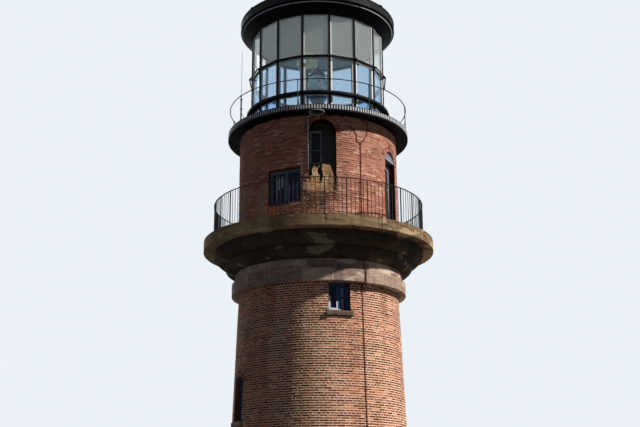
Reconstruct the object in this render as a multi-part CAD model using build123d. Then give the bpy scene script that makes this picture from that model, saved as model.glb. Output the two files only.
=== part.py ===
from build123d import *
import os
from math import acos, asin, atan2, cos, degrees, pi, radians, sin, sqrt, tan

# Round brick lighthouse with a stone cornice, a brick watch room and an iron lantern.
# Millimetres, +Z up. The origin is the centre of the tower on the ground.
# Bearings are degrees about the tower, from -Y towards +X.

# Fits
seat_gap = 0.3
cut_reach = 500.0
cut_overlap = 1.0

# Brick shaft
shaft_foot_radius = 2275.0
shaft_top_radius = 2055.0
shaft_height = 6220.0
shaft_bore_radius = 1500.0
shaft_segment_start = -20.0
segment_count = 6
base_course_height = 400.0
base_course_projection = 60.0
ground_floor_top = 150.0

# Stone courses over the shaft, each with its projection from the top of the brick or from the frieze
belt_height = 310.0
belt_projection = 195.0
frieze_height = 250.0
frieze_projection = 105.0
lower_moulding_height = 270.0
lower_moulding_projection = 285.0
upper_moulding_height = 320.0
upper_moulding_projection = 270.0
moulding_fillet = 45.0
moulding_bands = 3
gallery_deck_projection = 285.0
gallery_deck_thickness = 280.0

# Watch room
watch_radius = 2095.0
watch_wall_thickness = 400.0
watch_height = 2840.0
watch_segment_start = -9.0

# Lantern gallery
lantern_deck_overhang = 318.0
lantern_deck_thickness = 70.0
deck_edge_height = 160.0
deck_edge_thickness = 12.0

# Lantern
lantern_sides = 16
lantern_radius = 1830.0
lantern_bearing = -12.5
mullion_width = 46.0
mullion_depth = 74.0
sill_height = 80.0
lower_pane_height = 560.0
middle_pane_height = 1040.0
upper_pane_height = 1230.0
bar_height = 36.0
bar_depth = 56.0
glass_thickness = 10.0
glass_setback = 34.0
ledge_projection = 115.0
ledge_thickness = 60.0
grab_rail_stand_off = 56.0
grab_rail_diameter = 36.0
grab_rail_sides = 8

# Roof
eave_projection = 300.0
eave_flare_height = 250.0
eave_fascia_height = 230.0
eave_rim_width = 120.0
eave_foot_height = 60.0
roof_height = 950.0
roof_neck_radius = 250.0
roof_sheet = 12.0
roof_bands = 3
roof_bulge = 110.0
roof_rib_width = 40.0
roof_rib_height = 25.0
ceiling_thickness = 15.0
ventilator_radius = 260.0
ventilator_bands = 6
ventilator_flange_radius = 250.0
ventilator_flange_thickness = 20.0
ventilator_neck_radius = 170.0
ventilator_neck_height = 110.0
rod_height = 520.0
rod_radius = 12.0

# Gallery railing
gallery_rail_inset = 260.0
gallery_rail_height = 990.0
gallery_rail_bays = 32
rail_bearing = -8.0
rail_post_width = 26.0
rail_bar_height = 14.0
rail_bar_depth = 34.0
bottom_rail_clearance = 70.0
balusters_per_bay = 4
baluster_width = 18.0

# Lantern railing
handrail_inset = 28.0
handrail_height = 800.0
handrail_width = 26.0
handrail_posts = 8
handrail_bearing = -12.0
stay_height = 330.0
stay_reach = 200.0
stay_width = 20.0

# Windows of the shaft
stair_window_width = 540.0
top_window_height = 700.0
top_window_bearings = (14.1, 194.1)
arched_window_bottom = 3030.0
arched_window_height = 1080.0
arched_window_rise = 130.0
arched_window_bearings = (-66.0, 126.0)
window_setback = 110.0
frame_depth = 80.0
frame_width = 55.0
sash_glass_thickness = 8.0
bar_setback = 10.0
sill_thickness = 120.0
sill_overhang = 70.0
sill_projection = 55.0
sill_bed = 160.0

# Windows of the watch room
watch_window_width = 890.0
watch_window_height = 880.0
watch_window_bottom = 590.0
watch_window_bearings = (-24.0, 141.0, 261.0)

# Broken opening at the front of the watch room
niche_bearing = 3.1
niche_width = 690.0
niche_bottom = 850.0
niche_spring_height = 1540.0
niche_arch_rise = 335.0
niche_depth = 230.0
niche_window_width = 310.0
niche_window_height = 880.0
niche_window_bottom = 770.0
niche_window_offset = 150.0
niche_window_depth = 20.0
niche_slab_thickness = 90.0
# Corners of the broken slabs, as shares of the recess's width and springing height from its lower left
slab_outlines = (
    ((0.0, 0.0), (1.0, 0.0), (1.0, 0.123), (0.0, 0.149)),
    ((0.087, 0.153), (0.42, 0.148), (0.362, 0.429), (0.116, 0.416)),
    ((0.478, 0.144), (0.971, 0.129), (0.725, 0.448), (0.507, 0.455)),
)

# Gallery door
gallery_door_bearing = 64.0
gallery_door_width = 640.0
gallery_door_height = 1900.0
door_arch_rise = 170.0
door_setback = 130.0
door_thickness = 55.0

# Entrance at the foot
entrance_bearing = 180.0
entrance_width = 960.0
entrance_height = 2100.0
surround_width = 190.0
surround_projection = 45.0
surround_depth = 330.0
lintel_height = 280.0
entrance_setback = 180.0

# Rotating beacon
pedestal_foot_radius = 300.0
pedestal_foot_thickness = 30.0
pedestal_column_radius = 85.0
pedestal_cone_bottom = 973.0
pedestal_cone_height = 285.0
pedestal_top_radius = 250.0
pivot_radius = 60.0
pivot_length = 35.0
pivot_head_gap = 5.0
turntable_radius = 230.0
turntable_thickness = 50.0
drum_radius = 285.0
drum_depth = 300.0
yoke_clearance = 20.0
yoke_plate = 24.0
yoke_depth = 80.0
trunnion_radius = 22.0
drum_shell = 6.0
drum_back = 20.0
lens_thickness = 30.0
lens_recess = 5.0
upper_drum_offset = 300.0
upper_drum_rise = 125.0
upper_neck_radius = 50.0
hood_radius = 230.0
hood_top_radius = 50.0
hood_height = 220.0

# Lightning conductor
conductor_bearing = 30.5
conductor_width = 25.0
conductor_thickness = 4.0
conductor_foot = 30.0
conductor_tail = 60.0
conductor_mullion = 2
conductor_mullion_shift = -8.0
strap_reach = 1500.0
conductor_fork_height = 2170.0
conductor_fork = ((0.0, 0.0), (195.0, 270.0), (235.0, 560.0))
conductor_spur = ((0.0, 0.0), (-110.0, 45.0), (-105.0, 225.0), (-225.0, 365.0))

# Whip antenna
antenna_radius = 14.0
antenna_tip_radius = 5.0
antenna_base_height = 720.0
antenna_height = 2050.0
antenna_clamp_heights = (420.0, 680.0)
antenna_side_gap = 4.0
antenna_clamp_height = 30.0

# Wall lamp and its pipe
lamp_pipe_bearing = -6.6
lamp_pipe_bottom = 1350.0
lamp_pipe_radius = 14.0
lamp_clip_width = 60.0
lamp_rim_height = 12.0
lamp_drop = 50.0
lamp_dish_bearing = -0.5
lamp_reach = 380.0
lamp_dish_radius = 195.0
lamp_dish_height = 50.0
lamp_cap_radius = 60.0

# Radii worked out from the wall inwards and outwards
belt_radius = shaft_top_radius + belt_projection
frieze_radius = shaft_top_radius + frieze_projection
lower_moulding_radius = frieze_radius + lower_moulding_projection
upper_moulding_radius = lower_moulding_radius + upper_moulding_projection
gallery_deck_radius = upper_moulding_radius + gallery_deck_projection
gallery_rail_radius = gallery_deck_radius - gallery_rail_inset
lantern_deck_radius = watch_radius + lantern_deck_overhang
handrail_radius = lantern_deck_radius - handrail_inset
ledge_radius = lantern_radius + ledge_projection
grab_rail_radius = lantern_radius + grab_rail_stand_off
eave_radius = lantern_radius + eave_projection

# Heights worked out from the ground up
belt_bottom = shaft_height
frieze_bottom = belt_bottom + belt_height
cornice_bottom = frieze_bottom + frieze_height
upper_moulding_bottom = cornice_bottom + lower_moulding_height
deck_bottom = upper_moulding_bottom + upper_moulding_height
deck_top = deck_bottom + gallery_deck_thickness
watch_top = deck_top + watch_height
lantern_floor = watch_top + lantern_deck_thickness
sill_top = lantern_floor + sill_height
lower_bar_height = sill_top + lower_pane_height
upper_bar_height = lower_bar_height + middle_pane_height
lantern_head = upper_bar_height + upper_pane_height
eave_flare_top = lantern_head + eave_flare_height
roof_bottom = eave_flare_top + eave_fascia_height
roof_top = roof_bottom + roof_height


def turn(bearing):
    return Rot(0, 0, bearing)


def face_of(*points):
    """Upright face from (radius, height) corners."""
    return Plane.XZ * make_face(Polyline(*points, close=True))


def ring(face):
    return revolve(face, Axis.Z, 360)


def sector(face, start, end):
    """Part of a ring, from one bearing to another."""
    return turn(start - 90) * revolve(face, Axis.Z, end - start)


def disc(radius, bottom, top):
    return Pos(0, 0, bottom) * Cylinder(radius, top - bottom, align=(Align.CENTER, Align.CENTER, Align.MIN))


def block(width, near, far, bottom, top):
    """Block across bearing 0, between two distances from the tower's axis."""
    centre = Pos(0, -(near + far) / 2, (bottom + top) / 2)
    return centre * Box(width, far - near, top - bottom)


def arched_block(width, near, far, bottom, spring, rise):
    """Like block, but with a segmental arch over the springing height."""
    half = width / 2
    sides = Polyline((-half, spring), (-half, bottom), (half, bottom), (half, spring))
    head = ThreePointArc((half, spring), (0, spring + rise), (-half, spring))
    face = Plane.XZ * make_face(sides + head)
    return Pos(0, -near, 0) * extrude(face, far - near)


def write(node, *solids):
    shape = solids[0] if len(solids) == 1 else Compound(children=list(solids))
    export_step(shape, f"parts/{node}.step")


def shaft_radius_at(height):
    return shaft_foot_radius - (shaft_foot_radius - shaft_top_radius) * height / shaft_height


def facade(radius, width):
    """Distance from the axis to a round wall at the edge of an opening."""
    return sqrt(radius ** 2 - (width / 2) ** 2)


# Shaft

def shaft_openings():
    """Cutters for the windows, their sills and the entrance."""
    cutters = []
    inside = shaft_bore_radius / 2
    outside = shaft_foot_radius + cut_reach
    for bearing in top_window_bearings:
        bottom = shaft_height - top_window_height
        cutters.append(turn(bearing) * block(stair_window_width, inside, outside, bottom, shaft_height))
        cutters.append(turn(bearing) * sill_block(bottom, seat_gap, outside))
    for bearing in arched_window_bearings:
        spring = arched_window_bottom + arched_window_height - arched_window_rise
        opening = arched_block(stair_window_width, inside, outside, arched_window_bottom, spring,
                               arched_window_rise)
        cutters.append(turn(bearing) * opening)
        cutters.append(turn(bearing) * sill_block(arched_window_bottom, seat_gap, outside))
    cutters.append(turn(entrance_bearing) * entrance_cut(inside, outside))
    return cutters


def sill_block(window_bottom, gap, far):
    """Stone sill under a shaft window, or its bed in the wall when given a gap."""
    near = facade(shaft_radius_at(window_bottom), stair_window_width) - sill_bed - gap
    half_gap = 2 * gap
    width = stair_window_width + 2 * sill_overhang + half_gap
    return block(width, near, far, window_bottom - sill_thickness - gap, window_bottom)


def entrance_cut(inside, outside):
    back = facade(shaft_radius_at(base_course_height), entrance_width) - surround_depth
    opening = block(entrance_width, inside, outside, ground_floor_top, ground_floor_top + entrance_height)
    bed_width = entrance_width + 2 * (surround_width + seat_gap)
    bed_top = ground_floor_top + entrance_height + lintel_height + seat_gap
    bed = block(bed_width, back - seat_gap, outside, 0, bed_top)
    return opening + bed


def build_shaft():
    span = 360 / segment_count
    cutters = shaft_openings()
    face = face_of((shaft_bore_radius, base_course_height),
                   (shaft_radius_at(base_course_height), base_course_height),
                   (shaft_top_radius, shaft_height), (shaft_bore_radius, shaft_height))
    names = ("front", "right", "back_right", "back", "back_left", "left")
    for index, name in enumerate(names):
        start = shaft_segment_start + index * span
        wall = sector(face, start, start + span)
        for cutter in cutters:
            wall -= cutter
        write("shaft_wall_" + name, wall)


def build_base():
    outer = shaft_foot_radius + base_course_projection
    course = ring(face_of((shaft_bore_radius, 0), (outer, 0),
                          (outer, base_course_height - base_course_projection),
                          (shaft_radius_at(base_course_height), base_course_height),
                          (shaft_bore_radius, base_course_height)))
    course -= turn(entrance_bearing) * entrance_cut(shaft_bore_radius / 2, outer + cut_reach)
    write("base_course", course)
    write("ground_floor", disc(shaft_bore_radius - seat_gap, 0, ground_floor_top))


def build_entrance():
    back = facade(shaft_radius_at(base_course_height), entrance_width) - surround_depth
    front = shaft_foot_radius + base_course_projection + surround_projection
    head = ground_floor_top + entrance_height
    surround = block(entrance_width + 2 * surround_width, back, front, 0, head + lintel_height)
    surround -= block(entrance_width, back - cut_overlap, front + cut_overlap, ground_floor_top, head)
    write("entrance_surround", turn(entrance_bearing) * surround)
    face_distance = front - entrance_setback
    leaf = block(entrance_width - 2 * seat_gap, face_distance - door_thickness, face_distance,
                 ground_floor_top + seat_gap, head - seat_gap)
    write("entrance_door", turn(entrance_bearing) * leaf)


def framed_window(width, bottom, top, rise, face_distance, mullion):
    """Frame with an optional centre bar, and its glass, for an opening of the given size."""
    near = face_distance - window_setback - frame_depth
    far = face_distance - window_setback
    half_gap = 2 * seat_gap
    if rise:
        outer = arched_block(width - half_gap, near, far, bottom + seat_gap, top - rise, rise - seat_gap)
        inner_top = top - rise - frame_width / 2
        inner = arched_block(width - 2 * frame_width, near - cut_overlap, far + cut_overlap,
                             bottom + frame_width,
                             inner_top, rise - frame_width / 2)
    else:
        outer = block(width - half_gap, near, far, bottom + seat_gap, top - seat_gap)
        inner = block(width - 2 * frame_width, near - cut_overlap, far + cut_overlap,
                      bottom + frame_width, top - frame_width)
    frame = outer - inner
    middle = (near + far) / 2
    pane = inner & block(width, middle - sash_glass_thickness / 2, middle + sash_glass_thickness / 2,
                         bottom, top)
    if mullion:
        bar = block(frame_width, near + bar_setback, far - bar_setback, bottom + frame_width,
                    top - frame_width)
        bar -= block(frame_width + 2 * cut_overlap, middle - sash_glass_thickness / 2 - seat_gap,
                     middle + sash_glass_thickness / 2 + seat_gap, bottom + frame_width, top - frame_width)
        frame = frame + bar
    return frame, pane


def build_shaft_windows():
    frames = []
    panes = []
    sills = []
    rows = [(bearing, shaft_height - top_window_height, top_window_height, 0)
            for bearing in top_window_bearings]
    rows += [(bearing, arched_window_bottom, arched_window_height, arched_window_rise)
             for bearing in arched_window_bearings]
    for bearing, bottom, height, rise in rows:
        face_distance = facade(shaft_radius_at(bottom + height), stair_window_width)
        frame, pane = framed_window(stair_window_width, bottom, bottom + height, rise, face_distance, False)
        frames.append(turn(bearing) * frame)
        panes.append(turn(bearing) * pane)
        sills.append(turn(bearing) * sill_block(bottom, 0, shaft_radius_at(bottom) + sill_projection))
    write("shaft_window_frames", *frames)
    write("shaft_window_glass", *panes)
    write("shaft_window_sills", *sills)


# Stone courses

def build_courses():
    write("belt_course", ring(face_of((shaft_bore_radius, belt_bottom), (belt_radius, belt_bottom),
                                      (belt_radius, frieze_bottom), (shaft_bore_radius, frieze_bottom))))
    write("frieze", ring(face_of((shaft_bore_radius, frieze_bottom), (frieze_radius, frieze_bottom),
                                 (frieze_radius, cornice_bottom), (shaft_bore_radius, cornice_bottom))))
    write("cornice", ring(face_of((shaft_bore_radius, deck_bottom), (shaft_bore_radius, cornice_bottom),
                                  *cornice_outline())))
    write("gallery_deck", disc(gallery_deck_radius, deck_bottom, deck_top))


def cornice_outline():
    """Two rounded mouldings, one over the other, each under a narrow fillet."""
    lower_face = upper_moulding_bottom - moulding_fillet
    upper_face = deck_bottom - moulding_fillet
    return [*moulding((frieze_radius, cornice_bottom), (lower_moulding_radius, lower_face)),
            *moulding((lower_moulding_radius, upper_moulding_bottom), (upper_moulding_radius, upper_face)),
            (upper_moulding_radius, deck_bottom)]


def moulding(foot, head):
    """Quarter-ellipse outline in short bands, level at its foot and upright at its head."""
    width = head[0] - foot[0]
    height = head[1] - foot[1]
    angles = [pi / 2 * band / moulding_bands for band in range(moulding_bands + 1)]
    return [(foot[0] + width * sin(angle), head[1] - height * cos(angle)) for angle in angles]


# Watch room

def watch_openings():
    cutters = []
    inside = (watch_radius - watch_wall_thickness) / 2
    outside = watch_radius + cut_reach
    for bearing in watch_window_bearings:
        bottom = deck_top + watch_window_bottom
        opening = block(watch_window_width, inside, outside, bottom, bottom + watch_window_height)
        cutters.append(turn(bearing) * opening)
    spring = deck_top + gallery_door_height + door_arch_rise
    door = block(gallery_door_width, inside, outside, deck_top, spring)
    door += arched_block(gallery_door_width, inside, outside, deck_top + cut_overlap, spring,
                         door_arch_rise)
    cutters.append(turn(gallery_door_bearing) * door)
    cutters.append(turn(niche_bearing) * niche_cut())
    return cutters


def niche_cut():
    """Tall arched recess with a small window through the rest of the wall."""
    face_distance = facade(watch_radius, niche_width)
    bottom = deck_top + niche_bottom
    recess = arched_block(niche_width, face_distance - niche_depth, watch_radius + cut_reach, bottom,
                          bottom + niche_spring_height, niche_arch_rise)
    window_bottom = bottom + niche_window_bottom
    window = block(niche_window_width, watch_radius / 2, watch_radius, window_bottom,
                   window_bottom + niche_window_height)
    return recess + Pos(-niche_window_offset, 0, 0) * window


def build_watch_room():
    inner = watch_radius - watch_wall_thickness
    span = 360 / segment_count
    face = face_of((inner, deck_top), (watch_radius, deck_top), (watch_radius, watch_top), (inner,
                                                                                            watch_top))
    cutters = watch_openings()
    names = ("front", "right", "back_right", "back", "back_left", "left")
    for index, name in enumerate(names):
        start = watch_segment_start + index * span
        wall = sector(face, start, start + span)
        for cutter in cutters:
            wall -= cutter
        write("watch_wall_" + name, wall)


def build_watch_windows():
    frames = []
    panes = []
    face_distance = facade(watch_radius, watch_window_width)
    bottom = deck_top + watch_window_bottom
    for bearing in watch_window_bearings:
        frame, pane = framed_window(watch_window_width, bottom, bottom + watch_window_height, 0,
                                    face_distance, True)
        frames.append(turn(bearing) * frame)
        panes.append(turn(bearing) * pane)
    niche_bottom_height = deck_top + niche_bottom + niche_window_bottom
    back = facade(watch_radius, niche_width) - niche_depth + window_setback - niche_window_depth
    frame, pane = framed_window(niche_window_width, niche_bottom_height,
                                niche_bottom_height + niche_window_height,
                                0, back, False)
    shift = Pos(-niche_window_offset, 0, 0)
    frames.append(turn(niche_bearing) * shift * frame)
    panes.append(turn(niche_bearing) * shift * pane)
    write("watch_window_frames", *frames)
    write("watch_window_glass", *panes)


def build_niche_slabs():
    """Broken slabs of stone that fill the foot of the recess."""
    back = facade(watch_radius, niche_width) - niche_depth + seat_gap
    bottom = deck_top + niche_bottom
    left = -niche_width / 2 + seat_gap
    width = niche_width - 2 * seat_gap
    slabs = []
    for shares in slab_outlines:
        outline = [(left + width * across, bottom + niche_spring_height * up) for across, up in shares]
        face = Plane.XZ * make_face(Polyline(*outline, close=True))
        slabs.append(turn(niche_bearing) * Pos(0, -back, 0) * extrude(face, niche_slab_thickness))
    write("niche_slabs", *slabs)


def build_gallery_door():
    face_distance = facade(watch_radius, gallery_door_width) - door_setback
    width = gallery_door_width - 2 * seat_gap
    top = deck_top + gallery_door_height
    leaf = block(width, face_distance - door_thickness, face_distance, deck_top + seat_gap, top)
    spring = top + door_arch_rise
    panel = block(width, face_distance - door_thickness, face_distance, top + seat_gap, spring)
    panel += arched_block(width, face_distance - door_thickness, face_distance, top + cut_overlap, spring,
                          door_arch_rise - seat_gap)
    write("gallery_door", turn(gallery_door_bearing) * leaf)
    write("gallery_door_panel", turn(gallery_door_bearing) * panel)


# Railings

def bay_half_width(distance, count, post_width, gap):
    """Half the clear width between two posts, at a distance from the axis along the bay's middle."""
    half_angle = pi / count
    return distance * tan(half_angle) - (post_width / 2 + gap) / cos(half_angle)


def bay_prism(near, far, bottom, top, count, post_width, gap):
    """Space between two posts, seen from above as a trapezium across bearing 0."""
    near_half = bay_half_width(near, count, post_width, gap)
    far_half = bay_half_width(far, count, post_width, gap)
    outline = Polyline((-near_half, -near), (near_half, -near), (far_half, -far), (-far_half, -far),
                       close=True)
    return Pos(0, 0, bottom) * extrude(make_face(outline), top - bottom)


def build_gallery_railing():
    """Railing of short straight bays, each with its own bars and balusters."""
    top = deck_top + gallery_rail_height
    low = deck_top + bottom_rail_clearance
    step = 360 / gallery_rail_bays
    post = block(rail_post_width, gallery_rail_radius - rail_bar_depth / 2,
                 gallery_rail_radius + rail_bar_depth / 2, deck_top, top)
    write("gallery_railing_posts",
          *[turn(rail_bearing + step * index) * post for index in range(gallery_rail_bays)])

    middle = gallery_rail_radius * cos(pi / gallery_rail_bays)
    near = middle - rail_bar_depth / 2
    far = middle + rail_bar_depth / 2
    panel = bay_prism(near, far, top - rail_bar_height, top, gallery_rail_bays, rail_post_width, seat_gap)
    panel += bay_prism(near, far, low, low + rail_bar_height, gallery_rail_bays, rail_post_width, seat_gap)
    baluster = block(baluster_width, middle - baluster_width / 2, middle + baluster_width / 2,
                     low + rail_bar_height / 2, top - rail_bar_height / 2)
    bay_width = 2 * middle * tan(pi / gallery_rail_bays)
    spacing = bay_width / (balusters_per_bay + 1)
    for index in range(balusters_per_bay):
        panel += Pos(spacing * (index + 1) - bay_width / 2, 0, 0) * baluster
    write("gallery_railing_panels",
          *[turn(rail_bearing + step * (index + 0.5)) * panel for index in range(gallery_rail_bays)])


def build_lantern_railing():
    """Light round railing on posts, each with a sloping stay to the deck."""
    top = lantern_floor + handrail_height
    step = 360 / handrail_posts
    inner = handrail_radius - handrail_width / 2
    outer = handrail_radius + handrail_width / 2
    post = block(handrail_width, inner, outer, lantern_floor, top)
    stay = face_of((inner + stay_width / 2, lantern_floor + stay_height),
                   (inner - stay_reach, lantern_floor),
                   (inner - stay_reach + stay_width, lantern_floor),
                   (inner + stay_width / 2, lantern_floor + stay_height - 2 * stay_width))
    post += turn(-90) * extrude(stay, stay_width / 2, both=True)
    write("lantern_railing_posts",
          *[turn(handrail_bearing + step * index) * post for index in range(handrail_posts)])
    section = face_of((inner, top - handrail_width), (outer, top - handrail_width),
                      (outer, top), (inner, top))
    trim = degrees(asin((handrail_width / 2 + seat_gap) / inner))
    rails = [sector(section, handrail_bearing + step * index + trim,
                    handrail_bearing + step * (index + 1) - trim)
             for index in range(handrail_posts)]
    write("lantern_handrail", *rails)


# Lantern gallery

def build_lantern_deck():
    write("lantern_deck", disc(lantern_deck_radius, watch_top, lantern_floor))
    inner = lantern_deck_radius + seat_gap
    outer = inner + deck_edge_thickness
    top = watch_top + deck_edge_height
    write("lantern_deck_edge",
          ring(face_of((inner, watch_top), (outer, watch_top), (outer, top), (inner, top))))


# Lantern

def lantern_bay(near, far, bottom, top):
    return bay_prism(near, far, bottom, top, lantern_sides, mullion_width, seat_gap)


def around_lantern(solid, between):
    """Copies of a solid at the mullions, or in the bays between them."""
    step = 360 / lantern_sides
    offset = step / 2 if between else 0
    return [turn(lantern_bearing + offset + step * index) * solid for index in range(lantern_sides)]


def lantern_face_distance():
    """Distance from the axis to the outer face of a flat side, measured at its middle."""
    return lantern_radius * cos(pi / lantern_sides)


def build_lantern():
    face = lantern_face_distance()
    half_ledge = ledge_thickness / 2
    half_rail = grab_rail_diameter / 2
    mullion = block(mullion_width, lantern_radius - mullion_depth, lantern_radius, lantern_floor,
                    lantern_head)
    mullion += block(mullion_width, lantern_radius - mullion_depth / 2, ledge_radius,
                     lower_bar_height - half_ledge, lower_bar_height + half_ledge)
    mullion += block(mullion_width, lantern_radius - mullion_depth / 2, grab_rail_radius + half_rail,
                     upper_bar_height - half_rail, upper_bar_height + half_rail)
    write("lantern_mullions", *around_lantern(mullion, False))

    levels = ((lantern_floor, sill_top),
              (lower_bar_height - bar_height / 2, lower_bar_height + bar_height / 2),
              (upper_bar_height - bar_height / 2, upper_bar_height + bar_height / 2),
              (lantern_head - bar_height, lantern_head))
    bars = []
    for bottom, top in levels:
        bars += around_lantern(lantern_bay(face - bar_depth, face, bottom, top), True)
    write("lantern_bars", *bars)

    near = face - glass_setback - glass_thickness
    far = face - glass_setback
    rows = zip(("lower", "middle", "upper"), levels, levels[1:])
    for name, below, above in rows:
        pane = lantern_bay(near, far, below[1] + seat_gap, above[0] - seat_gap)
        write("lantern_glass_" + name, *around_lantern(pane, True))

    round_outside = disc(ledge_radius, lower_bar_height - half_ledge, lower_bar_height + half_ledge)
    ledge = round_outside & lantern_bay(face + seat_gap, ledge_radius, lantern_floor, lantern_head)
    write("lantern_ledge", *around_lantern(ledge, True))
    rail_distance = grab_rail_radius * cos(pi / lantern_sides)
    rail_half_length = bay_half_width(rail_distance - half_rail, lantern_sides, mullion_width, seat_gap)
    rail = Pos(-rail_half_length, -rail_distance, upper_bar_height) * Rot(0, 90, 0) * extrude(
        RegularPolygon(half_rail, grab_rail_sides), 2 * rail_half_length)
    write("lantern_grab_rail", *around_lantern(rail, True))


# Roof

def roof_outline():
    """Corners of the roof's outside, from the rim up to the neck, slightly rounded."""
    width = eave_radius - roof_neck_radius
    foot = roof_bottom + seat_gap + roof_sheet
    parts = [band / roof_bands for band in range(roof_bands + 1)]
    return [(eave_radius - width * part,
             foot + (roof_top - foot) * part + roof_bulge * 4 * part * (1 - part))
            for part in parts]


def roof_shape(corners):
    """Solid of flat faces with the lantern's sides, through the given (radius, height) corners."""
    bearings = [radians(lantern_bearing) + 2 * pi * index / lantern_sides for index in range(lantern_sides)]
    levels = [[(radius * sin(angle), -radius * cos(angle), height) for angle in bearings]
              for radius, height in corners]
    outlines = [levels[0], levels[-1]]
    for lower, upper in zip(levels, levels[1:]):
        for index in range(lantern_sides):
            after = (index + 1) % lantern_sides
            outlines.append([lower[index], lower[after], upper[after], upper[index]])
    return Solid(Shell([Face(Polyline(*outline, close=True).wire()) for outline in outlines]))


def build_roof():
    ceiling = RegularPolygon(lantern_face_distance(), lantern_sides, rotation=lantern_bearing)
    write("lantern_ceiling", Pos(0, 0, lantern_head + seat_gap) * extrude(ceiling, ceiling_thickness))
    inner = lantern_face_distance() + seat_gap
    foot = lantern_head + seat_gap
    write("lantern_eave", ring(face_of((inner, foot), (lantern_radius, foot), (eave_radius, eave_flare_top),
                                       (eave_radius, roof_bottom),
                                       (eave_radius - eave_rim_width, roof_bottom),
                                       (inner, foot + eave_foot_height))))

    outline = roof_outline()
    roof = roof_shape([(eave_radius, roof_bottom + seat_gap), *outline])
    roof -= roof_shape([(radius - 2 * roof_sheet, height - roof_sheet) for radius, height in outline])
    upper_edge = [(radius, height + roof_rib_height) for radius, height in outline]
    lower_edge = [(radius, height - roof_sheet / 2) for radius, height in outline]
    rib = turn(-90) * extrude(face_of(*upper_edge, *reversed(lower_edge)), roof_rib_width / 2, both=True)
    roof += around_lantern(rib, False)
    write("lantern_roof", roof)

    neck_bottom = roof_top + seat_gap
    lowest = -acos(ventilator_neck_radius / ventilator_radius)
    ball_centre = neck_bottom + ventilator_neck_height - ventilator_radius * sin(lowest)
    angles = [lowest + (pi / 2 - lowest) * band / ventilator_bands for band in range(ventilator_bands)]
    ball = [(ventilator_radius * cos(angle), ball_centre + ventilator_radius * sin(angle))
            for angle in angles]
    flange_top = neck_bottom + ventilator_flange_thickness
    rod_bottom = ball_centre + ventilator_radius
    write("roof_ventilator", ring(face_of((0, neck_bottom), (ventilator_flange_radius, neck_bottom),
                                          (ventilator_flange_radius, flange_top),
                                          (ventilator_neck_radius, flange_top), *ball,
                                          (0, rod_bottom))))
    write("lightning_rod", disc(rod_radius, rod_bottom + seat_gap, rod_bottom + rod_height))


# Beacon

def build_beacon():
    cone_bottom = lantern_floor + pedestal_cone_bottom
    cone_top = cone_bottom + pedestal_cone_height
    pedestal = ring(face_of((0, lantern_floor), (pedestal_foot_radius, lantern_floor),
                            (pedestal_foot_radius, lantern_floor + pedestal_foot_thickness),
                            (pedestal_column_radius, lantern_floor + pedestal_foot_thickness),
                            (pedestal_column_radius, cone_bottom), (pedestal_top_radius, cone_top),
                            (pivot_radius, cone_top), (pivot_radius, cone_top + pivot_length),
                            (0, cone_top + pivot_length)))
    write("beacon_pedestal", pedestal)
    table_bottom = cone_top + seat_gap
    table = disc(turntable_radius, table_bottom, table_bottom + turntable_thickness)
    table -= disc(pivot_radius + seat_gap, table_bottom - cut_overlap,
                  cone_top + pivot_length + pivot_head_gap)
    table_top = table_bottom + turntable_thickness
    lower_centre = table_top + yoke_clearance + drum_radius
    beam_bottom = lower_centre + drum_radius + yoke_clearance
    beam_top = beam_bottom + yoke_plate
    neck_top = beam_top + upper_drum_rise
    upper_centre = neck_top + seat_gap + drum_radius
    arm_inside = drum_radius + yoke_clearance
    arm_outside = arm_inside + yoke_plate
    yoke = Pos(0, 0, table_top) * Box(2 * arm_outside, yoke_depth, yoke_plate)
    yoke += Pos(0, 0, beam_top - yoke_plate / 2) * Box(2 * arm_outside, yoke_depth, yoke_plate)
    for side in (-1, 1):
        middle = side * (arm_inside + arm_outside) / 2
        arm = Box(yoke_plate, yoke_depth, beam_top - table_top)
        yoke += Pos(middle, 0, (table_top + beam_top) / 2) * arm
    hood = face_of((0, beam_top), (hood_radius, beam_top), (hood_top_radius, beam_top + hood_height),
                   (0, beam_top + hood_height))
    yoke += ring(hood) + Pos(-upper_drum_offset, 0, 0) * disc(upper_neck_radius, beam_top, neck_top)
    write("beacon_turntable", table + yoke)
    trunnions = Rot(0, 90, 0) * Cylinder(trunnion_radius, 2 * (arm_inside - seat_gap))
    inside = Rot(90, 0, 0) * Cylinder(drum_radius - drum_shell, 2 * drum_depth)
    lower = Pos(0, 0, lower_centre) * drum()
    lower += Pos(0, 0, lower_centre) * (trunnions - inside)
    upper = Pos(-upper_drum_offset, 0, upper_centre) * Rot(0, 0, 180) * drum()
    write("beacon_housings", lower, upper)
    lens_at = -drum_depth / 2 + lens_thickness / 2 + lens_recess
    lens_radius = drum_radius - drum_shell - seat_gap
    lens = Pos(0, lens_at, 0) * Rot(90, 0, 0) * Cylinder(lens_radius, lens_thickness)
    write("beacon_lenses", Pos(0, 0, lower_centre) * lens,
          Pos(-upper_drum_offset, 0, upper_centre) * Rot(0, 0, 180) * lens)


def drum():
    """Round lamp housing, open to -Y, with a flat back."""
    shell = Rot(90, 0, 0) * Cylinder(drum_radius, drum_depth)
    shell -= Pos(0, -drum_back, 0) * Rot(90, 0, 0) * Cylinder(drum_radius - drum_shell, drum_depth)
    return shell


# Lightning conductor

def tower_outline():
    """Corners of the outside, from the ground to the fork of the conductor."""
    foot = shaft_foot_radius + base_course_projection
    return [(foot, conductor_foot), (foot, base_course_height - base_course_projection),
            (shaft_radius_at(base_course_height), base_course_height), (shaft_top_radius, shaft_height),
            (belt_radius, belt_bottom), (belt_radius, frieze_bottom), (frieze_radius, frieze_bottom),
            *cornice_outline(), (gallery_deck_radius, deck_bottom), (gallery_deck_radius, deck_top),
            (watch_radius, deck_top), (watch_radius, deck_top + conductor_fork_height)]


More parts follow.
